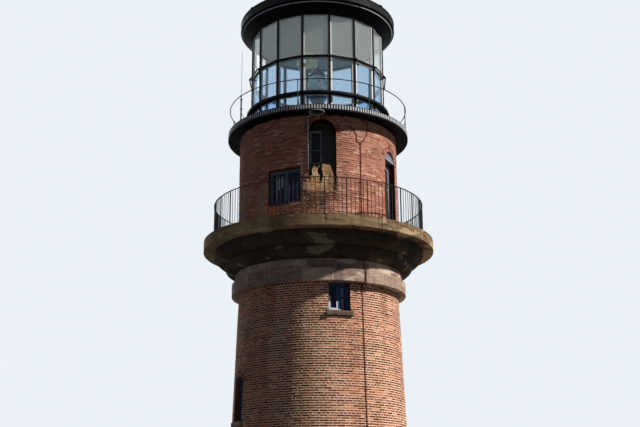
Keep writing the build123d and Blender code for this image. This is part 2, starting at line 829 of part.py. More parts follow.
def lantern_outline():
    """Corners from the top of the brick, round the deck's edge and up a mullion to the eave."""
    edge_inner = lantern_deck_radius + seat_gap
    edge_outer = edge_inner + deck_edge_thickness
    edge_top = watch_top + deck_edge_height
    rail_outer = grab_rail_radius + grab_rail_diameter / 2
    rail_bottom = upper_bar_height - grab_rail_diameter / 2
    rail_top = upper_bar_height + grab_rail_diameter / 2
    ledge_bottom = lower_bar_height - ledge_thickness / 2
    ledge_top = lower_bar_height + ledge_thickness / 2
    return [(watch_radius, watch_top - conductor_tail), (watch_radius, watch_top), (edge_outer, watch_top),
            (edge_outer, edge_top), (edge_inner, edge_top), (edge_inner, lantern_floor),
            (lantern_radius, lantern_floor), (lantern_radius, ledge_bottom), (ledge_radius, ledge_bottom),
            (ledge_radius, ledge_top), (lantern_radius, ledge_top), (lantern_radius, rail_bottom),
            (rail_outer, rail_bottom), (rail_outer, rail_top), (lantern_radius, rail_top),
            (lantern_radius, lantern_head)]


def strap_along(outline):
    """Strap that follows an upright outline at bearing 0, a seat's gap off it."""
    bottom = outline[0][1]
    top = outline[-1][1]
    body = make_face(Polyline((0, bottom), *outline, (0, top), close=True))
    outside = offset(body, seat_gap + conductor_thickness, kind=Kind.INTERSECTION)
    band = outside - offset(body, seat_gap, kind=Kind.INTERSECTION)
    band &= Pos(gallery_deck_radius, (bottom + top) / 2) * Rectangle(2 * strap_reach, top - bottom)
    return turn(-90) * extrude(Plane.XZ * band, conductor_width / 2, both=True)


def build_conductor():
    arms = trace(Polyline(*conductor_fork), conductor_width)
    arms += trace(Polyline(*conductor_spur), conductor_width)
    fork_height = deck_top + conductor_fork_height
    prism = extrude(Plane.XZ * Pos(0, fork_height) * arms, 2 * watch_radius)
    inner = watch_radius + seat_gap
    outer = inner + conductor_thickness
    shell = ring(face_of((inner, deck_top), (outer, deck_top), (outer, watch_top), (inner, watch_top)))
    lower = turn(conductor_bearing) * (strap_along(tower_outline()) + (shell & prism))
    beside_post = Pos(conductor_mullion_shift, 0, 0) * strap_along(lantern_outline())
    upper = turn(lantern_bearing + conductor_mullion * 360 / lantern_sides) * beside_post
    write("lightning_conductor", lower, upper)


# Antenna and lamp

def build_antenna():
    """Whip beside a post of the upper railing, held to the post by two clamps."""
    post_inner = handrail_radius - handrail_width / 2
    distance = post_inner - seat_gap - antenna_radius
    side = stay_width / 2 + antenna_radius + antenna_side_gap
    antenna = disc(antenna_radius, 0, antenna_base_height) + disc(antenna_tip_radius, 0, antenna_height)
    antenna = Pos(-side, -distance, 0) * antenna
    for height in antenna_clamp_heights:
        clamp = block(side + antenna_radius + stay_width / 2, distance - antenna_radius,
                      post_inner - seat_gap, height, height + antenna_clamp_height)
        antenna += Pos(-(side + antenna_radius) / 2 + stay_width / 4, 0, 0) * clamp
    place = turn(handrail_bearing - 360 / handrail_posts) * Pos(0, 0, lantern_floor)
    write("whip_antenna", place * antenna)


def build_wall_lamp():
    """Dish lamp under the lantern's deck, on an arm from a pipe that runs up the wall."""
    pipe_distance = watch_radius + seat_gap + lamp_pipe_radius
    arm_height = watch_top - lamp_drop
    bottom = deck_top + lamp_pipe_bottom
    lamp = turn(lamp_pipe_bearing) * Pos(0, -pipe_distance, 0) * disc(lamp_pipe_radius, bottom,
                                                                      arm_height + lamp_pipe_radius)
    for height in (bottom, (bottom + arm_height) / 2, arm_height - lamp_clip_width):
        clip = block(lamp_clip_width, watch_radius + seat_gap, pipe_distance + lamp_pipe_radius,
                     height, height + lamp_clip_width / 2)
        lamp += turn(lamp_pipe_bearing) * clip
    start = turn(lamp_pipe_bearing) * Pos(0, -pipe_distance, arm_height)
    end = turn(lamp_dish_bearing) * Pos(0, -(watch_radius + lamp_reach), arm_height)
    run = end.position - start.position
    heading = degrees(atan2(run.Y, run.X))
    middle = (start.position + end.position) / 2
    lamp += Pos(middle) * Rot(0, 0, heading) * Rot(0, 90, 0) * Cylinder(lamp_pipe_radius, run.length)
    top = arm_height + lamp_pipe_radius
    rim = top - lamp_dish_height
    dish = ring(face_of((0, rim), (lamp_dish_radius, rim), (lamp_dish_radius, rim + lamp_rim_height),
                        (lamp_cap_radius, top), (0, top)))
    lamp += Pos(end.position.X, end.position.Y, 0) * dish
    write("wall_lamp", lamp)


os.makedirs("parts", exist_ok=True)
build_base()
build_shaft()
build_entrance()
build_shaft_windows()
build_courses()
build_watch_room()
build_watch_windows()
build_niche_slabs()
build_gallery_door()
build_gallery_railing()
build_lantern_deck()
build_lantern_railing()
build_lantern()
build_roof()
build_beacon()
build_conductor()
build_antenna()
build_wall_lamp()
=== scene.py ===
import math
import random
import bmesh
import bpy
import numpy as np
from mathutils import Matrix, Vector, noise


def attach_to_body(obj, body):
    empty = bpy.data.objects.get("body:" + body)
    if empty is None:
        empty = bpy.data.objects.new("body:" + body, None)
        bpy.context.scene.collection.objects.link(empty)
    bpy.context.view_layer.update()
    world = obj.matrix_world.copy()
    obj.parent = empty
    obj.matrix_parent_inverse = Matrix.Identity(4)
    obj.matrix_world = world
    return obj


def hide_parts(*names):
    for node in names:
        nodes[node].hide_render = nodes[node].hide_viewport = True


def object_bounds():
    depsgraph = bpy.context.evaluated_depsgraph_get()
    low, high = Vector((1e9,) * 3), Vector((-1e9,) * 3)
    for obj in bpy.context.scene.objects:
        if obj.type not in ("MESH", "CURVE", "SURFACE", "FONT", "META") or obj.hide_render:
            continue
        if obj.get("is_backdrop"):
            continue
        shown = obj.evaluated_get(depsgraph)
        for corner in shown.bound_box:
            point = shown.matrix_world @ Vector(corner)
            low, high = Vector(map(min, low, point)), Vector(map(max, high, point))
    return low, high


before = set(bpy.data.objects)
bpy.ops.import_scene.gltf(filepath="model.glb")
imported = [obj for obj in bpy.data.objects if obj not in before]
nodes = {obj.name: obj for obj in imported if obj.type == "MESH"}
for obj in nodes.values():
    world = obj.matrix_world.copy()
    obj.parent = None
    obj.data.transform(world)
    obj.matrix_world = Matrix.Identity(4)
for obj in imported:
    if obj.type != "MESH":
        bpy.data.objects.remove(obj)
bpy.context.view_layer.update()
scene = bpy.context.scene
finish = {}  # materials by name
print("frame loaded:", len(nodes), "nodes")

# Levels and radii of the tower in metres, read off the CAD nodes where other pieces sit on them
tower = {
    "shaftFoot": 0.4, "shaftTop": 6.22, "shaftFootRadius": 2.275, "shaftTopRadius": 2.055,
    "deckTop": 7.65, "watchTop": 10.49, "watchRadius": 2.095,
}


def onTower(radius, bearing, z):
    # bearing in degrees from the side the camera looks at, towards +X
    angle = math.radians(bearing)
    return Vector((radius * math.sin(angle), -radius * math.cos(angle), z))


def turned(point, bearing):
    # a point built facing -Y, turned to its bearing
    angle = math.radians(bearing)
    x, y, z = point
    return (x * math.cos(angle) - y * math.sin(angle), x * math.sin(angle) + y * math.cos(angle), z)


def shaftRadiusAt(z):
    return tower["shaftFootRadius"] - (tower["shaftFootRadius"] - tower["shaftTopRadius"]) * z / tower["shaftTop"]


def watchRadiusAt(z):
    return tower["watchRadius"]


def ringOf(radius, z, count):
    return [onTower(radius, 360 * s / count, z) for s in range(count)]


def circle(steps):
    return [2 * math.pi * i / steps for i in range(steps)]


def archRadius(half, rise):
    return (half ** 2 + rise ** 2) / (2 * rise)


def spot(place, bearing, size=1.0, tone=0.5, lean=0.0, roll=0.0):
    # where one scattered block goes: place, turn, size and tone
    return place, (lean, roll, math.radians(bearing)), size if isinstance(size, tuple) else (size,) * 3, tone


def onWall(radius, bearing, z, *values):
    return spot(onTower(radius, bearing, z), bearing, *values)


def meshObject(name, verts, faces, smooth=False):
    mesh = bpy.data.meshes.new(name)
    mesh.from_pydata([tuple(v) for v in verts], [], [tuple(f) for f in faces])
    mesh.validate()
    if smooth:
        mesh.polygons.foreach_set("use_smooth", [True] * len(mesh.polygons))
    mesh.update()
    obj = bpy.data.objects.new(name, mesh)
    scene.collection.objects.link(obj)
    return obj


def setLayer(obj, name, values, vector=False):
    layer = obj.data.attributes.new(name, "FLOAT_VECTOR" if vector else "FLOAT", "POINT")
    layer.data.foreach_set("vector" if vector else "value", np.array(values, dtype=np.float32).reshape(-1))


def faceOutwards(obj):
    bm = bmesh.new()
    bm.from_mesh(obj.data)
    bmesh.ops.recalc_face_normals(bm, faces=bm.faces)
    bm.to_mesh(obj.data)
    bm.free()
    obj.data.update()
    return obj


def dress(obj, look, body="tower", hides=()):
    obj.data.materials.clear()
    obj.data.materials.append(finish[look])
    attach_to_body(obj, body)
    if hides:
        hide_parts(*hides)
    return obj


def loftFaces(rows, columns, closed=False):
    # quads between rows of corners, each row a ring; capped at both ends unless the rows close up too
    faces = [(r * columns + c, r * columns + (c + 1) % columns,
              (r + 1) % rows * columns + (c + 1) % columns, (r + 1) % rows * columns + c)
             for r in range(rows if closed else rows - 1) for c in range(columns)]
    if closed:
        return faces
    return faces + [tuple(reversed(range(columns))), tuple(range((rows - 1) * columns, rows * columns))]


def chamferedBox(low, high, c):
    # block with its edges taken off: three points at each corner, one for each side that meets there
    verts = [tuple((low, high)[end[i]][i] + (0 if i == k else (c, -c)[end[i]]) for i in range(3))
             for end in [(x, y, z) for x in (0, 1) for y in (0, 1) for z in (0, 1)] for k in range(3)]
    faces = [[3 * corner + k for k in range(3)] for corner in range(8)]
    weight = (12, 6, 3)
    for k in range(3):
        a, b = [i for i in range(3) if i != k]
        for s in (0, 1):
            face = [weight[k] * s + weight[a] * p + weight[b] * q + k for p, q in ((0, 0), (1, 0), (1, 1), (0, 1))]
            faces.append(face)
            for p in (0, 1):
                edge = weight[a] * s + weight[b] * p
                faces.append([edge + a, edge + b, edge + weight[k] + b, edge + weight[k] + a])
    centre = Vector((low[i] + high[i]) / 2 for i in range(3))
    return verts, [outward(verts, face, centre) for face in faces]


def outward(verts, face, centre):
    # turns a face of a convex block to point away from its centre
    a, b, c = (Vector(verts[i]) for i in face[:3])
    middle = sum((Vector(verts[i]) for i in face), Vector()) / len(face)
    return face[::-1] if (b - a).cross(c - a).dot(middle - centre) < 0 else face


def latheOf(profile, steps, axis="z"):
    # turned shape from (radius, height) corners; a radius of 0 closes it
    verts, rows, faces = [], [], []
    for radius, height in profile:
        if radius < 1e-6:
            rows.append([len(verts)] * steps)
            verts.append((0, 0, height))
        else:
            rows.append([len(verts) + i for i in range(steps)])
            verts += [(radius * math.cos(angle), radius * math.sin(angle), height) for angle in circle(steps)]
    for low, high in zip(rows, rows[1:]):
        for i in range(steps):
            j = (i + 1) % steps
            ring = list(dict.fromkeys((low[i], low[j], high[j], high[i])))
            if len(ring) > 2:
                faces.append(ring)
    # along y the profile's height runs towards -Y
    return [(x, -z, y) for x, y, z in verts] if axis == "y" else verts, faces


def tubeAlong(path, radius, sides=10, close=False):
    points = [Vector(p) for p in path]
    count = len(points)
    verts = []
    side = None
    for i, point in enumerate(points):
        before = points[i - 1] if i or close else point
        after = points[(i + 1) % count] if i < count - 1 or close else point
        along = (after - before).normalized()
        if side is None:
            side = along.orthogonal().normalized()
        side = (side - along * side.dot(along)).normalized()
        up = along.cross(side)
        verts += [point + side * (radius * math.cos(angle)) + up * (radius * math.sin(angle))
                  for angle in circle(sides)]
    return verts, loftFaces(count, sides, close)


class Shape:
    # collects the corners and faces of one piece
    def __init__(self):
        self.verts, self.faces, self.tones = [], [], []

    def add(self, verts, faces, bearing=0.0, shift=(0, 0, 0), tone=None):
        start = len(self.verts)
        for v in verts:
            moved = (v[0] + shift[0], v[1] + shift[1], v[2] + shift[2])
            self.verts.append(turned(moved, bearing) if bearing else moved)
        self.faces += [[start + i for i in face] for face in faces]
        if tone is not None:
            self.tones += [tone] * len(verts)

    def box(self, low, high, bearing=0.0, chamfer=0.003):
        self.add(*chamferedBox(low, high, chamfer), bearing)

    def tube(self, path, radius, sides=10, bearing=0.0, close=False):
        self.add(*tubeAlong(path, radius, sides, close), bearing)

    def lathe(self, profile, steps, centre=(0, 0, 0), axis="z", bearing=0.0):
        self.add(*latheOf(profile, steps, axis), bearing, centre)

    def sweepRound(self, section, segments=192):
        # carries a closed section of (radius, height) corners round the tower
        verts = [onTower(r, 360 * s / segments, z) for s in range(segments) for r, z in section]
        self.add(verts, loftFaces(segments, len(section), True))

    def ringBar(self, radius, z, depth, height, segments=192):
        # flat bar bent round the tower, with its corners eased
        ease, d, h = min(depth, height) * 0.22, depth / 2, height / 2
        section = [(-d + ease, -h), (d - ease, -h), (d, -h + ease), (d, h - ease),
                   (d - ease, h), (-d + ease, h), (-d, h - ease), (-d, -h + ease)]
        self.sweepRound([(radius + r, z + up) for r, up in section], segments)

    def block(self, name):
        return name, self.verts, self.faces

    def dress(self, name, look, slotName, body="tower", hides=(), smooth=False):
        obj = meshObject(name, self.verts, self.faces, smooth)
        if self.tones:
            setLayer(obj, "tone", self.tones)
        return dress(faceOutwards(obj), look, body, hides)


# Small helpers for node trees
def newMaterial(name, **sockets):
    material = bpy.data.materials.new(name)
    material.use_nodes = True
    shader = material.node_tree.nodes["Principled BSDF"]
    for socket, value in sockets.items():
        shader.inputs[socket.replace("_", " ")].default_value = value
    return material, material.node_tree, shader


def attach(tree, value, target):
    if isinstance(value, bpy.types.NodeSocket):
        tree.links.new(value, target)
    else:
        target.default_value = value


def node(tree, kind, values=None, **settings):
    made = tree.nodes.new(kind)
    for key, value in settings.items():
        setattr(made, key, value)
    for key, value in (values or {}).items():
        attach(tree, value, made.inputs[key])
    return made


def noiseOf(tree, scale, detail=4.0, roughness=0.55, stretch=(1, 1, 1)):
    # noise in the piece's own coordinates
    place = node(tree, "ShaderNodeTexCoord").outputs["Object"]
    mapped = node(tree, "ShaderNodeMapping", {"Vector": place, "Scale": stretch}).outputs["Vector"]
    return node(tree, "ShaderNodeTexNoise", {"Vector": mapped, "Scale": scale, "Detail": detail,
                "Roughness": roughness}).outputs["Fac"]


def ramp(tree, factor, *stops):
    # stops are (position, colour) or (position, grey value)
    made = node(tree, "ShaderNodeValToRGB", {"Fac": factor})
    elements = made.color_ramp.elements
    while len(elements) < len(stops):
        elements.new(0.5)
    for element, (position, colour) in zip(elements, stops):
        element.position = position
        element.color = (*colour, 1) if isinstance(colour, tuple) else grey(colour)
    return made.outputs["Color"]


def grey(value):
    return (value, value, value, 1)


def mixed(tree, factor, first, second, kind="MIX"):
    made = node(tree, "ShaderNodeMix", data_type="RGBA", blend_type=kind)
    for key, value in (("Factor_Float", factor), ("A_Color", first), ("B_Color", second)):
        colour = (*value, 1) if isinstance(value, tuple) and len(value) == 3 else value
        attach(tree, colour, [s for s in made.inputs if s.identifier == key][0])
    return [s for s in made.outputs if s.identifier == "Result_Color"][0]


def shaded(tree, amount, colour, factor, *stops):
    return mixed(tree, amount, colour, ramp(tree, factor, *stops), "MULTIPLY")


def maths(tree, operation, first, second=0.5, clamp=False):
    return node(tree, "ShaderNodeMath", {0: first, 1: second}, operation=operation, use_clamp=clamp).outputs[0]


def feed(tree, shader, height, strength, distance, **sockets):
    # links the bump and the sockets named
    made = node(tree, "ShaderNodeBump", {"Height": height, "Strength": strength, "Distance": distance})
    for name, value in (("Normal", made.outputs["Normal"]), *sockets.items()):
        tree.links.new(value, shader.inputs[name.replace("_", " ")])


def toneOf(tree):
    return node(tree, "ShaderNodeAttribute", attribute_name="tone").outputs["Fac"]


def paint(red, green, blue):
    # colour written as 0-255 screen values
    return tuple((c / 255 / 12.92 if c <= 10 else ((c / 255 + 0.055) / 1.055) ** 2.4) for c in (red, green, blue))


def brickMaterial(name, *tones):
    # every brick carries its own tone, over broad weathering and soot
    material, tree, shader = newMaterial(name, Roughness=0.9, Specular_IOR_Level=0.07)
    spread = maths(tree, "MULTIPLY_ADD", noiseOf(tree, 14.0, 5, 0.65), 0.5)
    shifted = maths(tree, "ADD", toneOf(tree), maths(tree, "SUBTRACT", spread, 0.62), clamp=True)
    colour = ramp(tree, shifted, *zip((0.0, 0.3, 0.62, 0.88, 1.0), tones))
    colour = shaded(tree, 0.8, colour, noiseOf(tree, 0.9, 3), (0.35, 0.82), (0.65, 1.0))
    soot = noiseOf(tree, 1.3, stretch=(2.4, 2.4, 0.35))
    colour = shaded(tree, 0.55, colour, soot, (0.5, 1.0), (0.78, paint(150, 140, 138)))
    pits = noiseOf(tree, 160.0, 3, 0.7)
    colour = shaded(tree, 0.35, colour, pits, (0.38, 0.45), (0.55, 1.0))
    feed(tree, shader, maths(tree, "ADD", pits, noiseOf(tree, 45.0, 3)), 0.6, 0.004,
         Base_Color=colour, Roughness=ramp(tree, pits, (0.3, 0.95), (0.7, 0.8)))
    return material


def mortarMaterial(name, dark, light):
    material, tree, shader = newMaterial(name, Roughness=0.95, Specular_IOR_Level=0.07)
    grain = noiseOf(tree, 90.0, 5, 0.7)
    colour = mixed(tree, noiseOf(tree, 6.0), dark, light)
    colour = shaded(tree, 0.6, colour, grain, (0.35, 0.5), (0.6, 1.0))
    damp = noiseOf(tree, 1.1, stretch=(1.8, 1.8, 0.3))
    colour = shaded(tree, 0.7, colour, damp, (0.45, 1.0), (0.75, paint(176, 150, 134)))
    feed(tree, shader, grain, 0.7, 0.005, Base_Color=colour)
    return material


def stoneMaterial(name, dark, light, repair):
    # bedded, stained downwards, with paler repairs
    material, tree, shader = newMaterial(name, Roughness=0.88, Specular_IOR_Level=0.08)
    bedding = maths(tree, "MULTIPLY", noiseOf(tree, 2.2, 5, 0.6, (1.2, 1.2, 7.0)), 0.9)
    blend = maths(tree, "ADD", bedding, maths(tree, "MULTIPLY", toneOf(tree), 0.45))
    colour = mixed(tree, ramp(tree, blend, (0.35, 0), (0.95, 1)), dark, light)
    colour = shaded(tree, 0.6, colour, noiseOf(tree, 1.0, 4, 0.6, (9.0, 9.0, 0.9)), (0.48, 1.0), (0.7, 0.42))
    patches = ramp(tree, noiseOf(tree, 1.8, 2, 0.4, (1.0, 1.0, 2.2)), (0.61, 0), (0.64, 1))
    colour = mixed(tree, maths(tree, "MULTIPLY", patches, 0.6), colour, repair)
    grain = noiseOf(tree, 120.0, 4, 0.7)
    colour = shaded(tree, 0.5, colour, grain, (0.36, 0.55), (0.58, 1.0))
    feed(tree, shader, maths(tree, "ADD", grain, noiseOf(tree, 22.0)), 0.55, 0.006,
         Base_Color=colour, Roughness=ramp(tree, grain, (0.3, 0.95), (0.7, 0.75)))
    return material


def ironMaterial(name, colour, chalk, rust, rustAmount, rough, shine=0.2):
    # paint on iron, dulled to chalk on flats, with rust breaking through
    material, tree, shader = newMaterial(name, Roughness=rough, Specular_IOR_Level=shine)
    dull = noiseOf(tree, 5.0, 5, 0.65)
    look = mixed(tree, ramp(tree, dull, (0.4, 0), (0.8, 0.8)), colour, chalk)
    edge = 0.76 - rustAmount * 0.4
    broken = ramp(tree, noiseOf(tree, 1.6, 6, 0.68, (16.0, 16.0, 2.2)), (edge, 0), (edge + 0.07, 1))
    look = mixed(tree, broken, look, rust)
    grain = noiseOf(tree, 210.0, 3, 0.6)
    look = shaded(tree, 0.3, look, grain, (0.35, 0.6), (0.6, 1.0))
    rougher = mixed(tree, broken, ramp(tree, dull, (0.3, rough - 0.08), (0.8, rough + 0.2)), grey(0.92))
    feed(tree, shader, maths(tree, "ADD", maths(tree, "MULTIPLY", grain, 0.5), broken), 0.3, 0.002,
         Base_Color=look, Roughness=rougher)
    return material


def glassMaterial(name, tint, dirtAndPaintedGlints, haze, clear=1.0, grain=2.4):
    material, tree, shader = newMaterial(name, IOR=1.45, Transmission_Weight=clear)
    # the film is dirt on the lantern panes and painted glints on the beacon lens
    film = ramp(tree, noiseOf(tree, grain, 5, 0.6), (0.4, 0), (0.8, 1))
    feed(tree, shader, noiseOf(tree, 3.5, 1), 0.08, 0.002,
         Base_Color=mixed(tree, maths(tree, "MULTIPLY", film, haze), tint, dirtAndPaintedGlints),
         Roughness=ramp(tree, film, (0.0, 0.02), (1.0, 0.1)))
    return material


def darkGlassMaterial(name, colour, sky):
    # a pane painted with the shade of a dark room behind it, mottled with a painted reflection of the sky
    material, tree, shader = newMaterial(name, Roughness=0.08, IOR=1.5, Specular_IOR_Level=0.05)
    feed(tree, shader, noiseOf(tree, 5.0, 1), 0.1, 0.002,
         Base_Color=mixed(tree, ramp(tree, noiseOf(tree, 3.2, 3), (0.35, 0), (0.75, 1)), colour, sky),
         Roughness=ramp(tree, noiseOf(tree, 20.0), (0.4, 0.05), (0.7, 0.22)))
    return material


def woodMaterial(name, colour, worn, bare, amount):
    material, tree, shader = newMaterial(name, Roughness=0.6, Specular_IOR_Level=0.12)
    grain = noiseOf(tree, 3.0, 5, 0.6, (40.0, 40.0, 3.0))
    look = mixed(tree, noiseOf(tree, 4.0), colour, worn)
    edge = 0.74 - amount * 0.3
    peel = ramp(tree, noiseOf(tree, 4.0, 6, 0.7, (7, 7, 4)), (edge, 0), (edge + 0.04, 1))
    look = mixed(tree, peel, look, bare)
    look = shaded(tree, 0.35, look, grain, (0.35, 0.55), (0.6, 1.0))
    feed(tree, shader, maths(tree, "SUBTRACT", grain, peel), 0.35, 0.002,
         Base_Color=look, Roughness=mixed(tree, peel, grey(0.5), grey(0.9)))
    return material


looks = {
    brickMaterial: {  # tones from the darkest brick to the palest
        "shaftBrick": ((44, 18, 15), (90, 38, 29), (138, 63, 46), (202, 112, 81), (230, 160, 124)),
        "watchBrick": ((70, 32, 29), (140, 72, 60), (194, 112, 92), (224, 150, 124), (242, 188, 160)),
    },
    mortarMaterial: {  # dark, light
        "limeMortar": ((246, 198, 162), (255, 234, 208)),
        "watchMortar": ((170, 128, 110), (224, 186, 162)),
        "wallCore": ((112, 74, 58), (158, 118, 94)),
        "watchCore": ((86, 50, 40), (124, 82, 66)),
    },
    stoneMaterial: {  # dark, light, repairs
        "beltStone": ((130, 109, 101), (226, 196, 175), (228, 206, 186)),
        "corniceStone": ((46, 39, 33), (98, 82, 66), (158, 144, 118)),
        "deckStone": ((66, 54, 41), (196, 164, 127), (206, 182, 144)),
        "sillStone": ((112, 94, 80), (168, 146, 124), (188, 172, 150)),
        "rubbleStone": ((96, 70, 58), (178, 140, 112), (204, 178, 150)),
        "slabStone": ((200, 154, 110), (248, 208, 160), (250, 220, 180)),
        "floorStone": ((120, 112, 102), (158, 150, 138), (170, 160, 146)),
    },
    ironMaterial: {  # paint, chalk, rust, amount of rust, roughness, shine
        "blackIron": ((4, 4, 8), (10, 11, 15), (32, 21, 17), 0.04, 0.6, 0.1),
        "railIron": ((24, 20, 22), (44, 38, 38), (84, 44, 28), 0.25, 0.5),
        "edgePaint": ((196, 202, 210), (226, 230, 234), (128, 88, 64), 0.2, 0.55),
        "doorPanelPaint": ((156, 152, 166), (180, 176, 186), (120, 96, 84), 0.12, 0.6),
        "rustedIron": ((84, 38, 28), (112, 58, 40), (58, 28, 20), 0.5, 0.75),
        "darkStrap": ((30, 18, 18), (44, 28, 26), (56, 28, 22), 0.2, 0.7, 0.1),
        # pipe clips and holder, and the dark lining of the lamp dish's hollow as painted shade
        "lampHollow": ((52, 54, 58), (72, 74, 78), (70, 46, 34), 0.1, 0.6, 0.1),
        "antennaFinish": ((70, 66, 64), (104, 98, 94), (96, 60, 40), 0.2, 0.5),
        "lampEnamel": ((198, 200, 198), (172, 174, 172), (110, 72, 48), 0.1, 0.35),
        "ceilingPaint": ((246, 252, 249), (234, 242, 239), (160, 140, 120), 0.03, 0.7),
        "paneFramePaint": ((250, 252, 248), (236, 240, 236), (140, 112, 86), 0.03, 0.5),
        "beaconGrey": ((84, 104, 108), (118, 136, 138), (92, 60, 40), 0.1, 0.4),
        "beaconCream": ((255, 240, 184), (248, 230, 170), (140, 100, 70), 0.05, 0.4),
    },
    woodMaterial: {  # paint, worn paint, bare wood, amount of bare wood
        "framePaint": ((40, 58, 92), (60, 80, 112), (96, 92, 96), 0.06),
        "sashPaint": ((48, 68, 108), (76, 96, 132), (120, 122, 130), 0.1),
        "bluePaint": ((92, 118, 164), (112, 136, 178), (140, 146, 156), 0.05),
        "doorPaint": ((24, 22, 27), (40, 36, 40), (74, 62, 54), 0.15),
        "tealPaint": ((92, 120, 136), (120, 144, 156), (110, 104, 100), 0.08),
        "whitePaint": ((226, 232, 240), (206, 214, 224), (150, 136, 120), 0.05),
        "blindPaint": ((206, 220, 240), (170, 188, 214), (150, 150, 156), 0.02),
        # near-black boards: painted shade inside the recess
        "sootBoard": ((14, 12, 14), (26, 20, 20), (44, 26, 22), 0.1),
        "recessPaint": ((120, 124, 136), (150, 154, 166), (60, 56, 60), 0.2),
    },
    glassMaterial: {  # tint, film of dirt (on the lens, painted glints in its prisms), its amount, clearness, scale of the film
        "upperGlass": ((246, 251, 250), (226, 234, 230), 0.3, 0.9),
        "lowerGlass": ((190, 218, 246), (182, 204, 226), 0.3),
        # the lens's dark mottle is painted reflections in its prisms
        "lensGlass": ((250, 255, 244), (96, 128, 120), 1.0, 0.15, 13.0),
    },
    darkGlassMaterial: {  # painted shade of the room, painted reflection of the sky in the pane
        "paneGlass": ((10, 15, 60), (22, 34, 92)),
        # near-black pane: painted shade of the dark interior behind the recess window
        "voidGlass": ((4, 4, 8), (10, 11, 18)),
    },
}
for maker, rows in looks.items():
    for name, row in rows.items():
        finish[name] = maker(name, *[paint(*value) if isinstance(value, tuple) else value for value in row])
print("materials made:", len(finish))

# The look of each CAD node, by the start of its name; the longest match counts
cadFinish = {
    "shaft_wall": "wallCore", "watch_wall": "watchCore", "base_course": "beltStone", "ground_floor": "floorStone",
    "belt_course": "beltStone", "frieze": "beltStone", "cornice": "corniceStone", "gallery_deck": "deckStone",
    "shaft_window_sills": "sillStone", "entrance_surround": "sillStone", "niche_slabs": "slabStone",
    "shaft_window_frames": "framePaint", "watch_window_frames": "framePaint", "shaft_window_glass": "paneGlass",
    "watch_window_glass": "paneGlass", "entrance_door": "doorPaint", "gallery_door_panel": "doorPanelPaint",
    "gallery_door": "doorPaint", "gallery_railing": "railIron", "lantern_deck_edge": "edgePaint",
    "lantern_glass_upper": "upperGlass", "lantern_glass": "lowerGlass", "lantern_ceiling": "ceilingPaint",
    "lantern": "blackIron", "roof_ventilator": "blackIron", "lightning": "rustedIron",
    "whip_antenna": "antennaFinish", "wall_lamp": "lampEnamel", "beacon": "beaconGrey",
    "beacon_housings": "beaconCream", "beacon_lenses": "lensGlass",
}
for name, cadNode in nodes.items():
    match = max((key for key in cadFinish if name.startswith(key)), key=len)
    cadNode.data.materials.clear()
    cadNode.data.materials.append(finish[cadFinish[match]])
print("CAD pieces painted")

# Brickwork
bricks = {
    "course": 0.057, "stretcher": 0.203, "joint": 0.013, "headerEvery": 6, "proud": 0.005, "bed": 0.029,
    "upright": 0.026, "mortarProud": 0.011, "archRing": 0.11, "archBrick": 0.068, "archJoint": 0.012,
    "shortest": 0.035, "sillHigh": 0.12, "startShift": 0.05, "wobble": 0.03, "rowTone": 0.05, "brickTone": 0.2,
    "seed": 23,
}


def gapAt(bearing, half, bottom, spring, rise=0.0, sill=0):
    # where bricks stop; the springing is the top of a flat opening, and sill the half width of its sill
    return {"bearing": bearing, "half": half, "bottom": bottom, "spring": spring, "rise": rise, "sill": sill}


shaftGaps = [gapAt(b, 0.27, 5.4, 6.22, sill=0.34) for b in (14.1, 194.1)]
shaftGaps += [gapAt(b, 0.27, 2.91, 3.98, 0.13, 0.34) for b in (-66.0, 126.0)] + [gapAt(180.0, 0.67, 0.0, 2.53)]
watchGaps = [gapAt(b, 0.445, 8.24, 9.12) for b in (-24.0, 141.0, 261.0)]
watchGaps += [gapAt(3.1, 0.345, 8.5, 10.04, 0.335), gapAt(64.0, 0.32, 7.65, 9.72, 0.17)]


def archOf(gap):
    # radius and centre height of a gap's arch
    radius = archRadius(gap["half"], gap["rise"])
    return radius, gap["spring"] + gap["rise"] - radius


def blockedHalf(gap, z):
    if z < gap["bottom"]:
        return 0.0
    if gap["sill"] and z < gap["bottom"] + bricks["sillHigh"]:
        return gap["sill"]
    if z <= gap["spring"]:
        return gap["half"]
    if not gap["rise"]:
        return 0.0
    radius, centre = archOf(gap)
    return math.sqrt(max(0.0, (radius + bricks["archRing"]) ** 2 - (z - centre) ** 2))


def openParts(start, end, blocked):
    # what is left of a stretch of wall once the gaps are taken out, in degrees
    parts = [(start, end)]
    for low, high in blocked:
        left = []
        for a, b in parts:
            for turn in (-360, 0, 360):
                if low + turn < b and high + turn > a:
                    if low + turn > a:
                        left.append((a, low + turn))
                    if high + turn < b:
                        left.append((high + turn, b))
                    break
            else:
                left.append((a, b))
        parts = left
    return parts


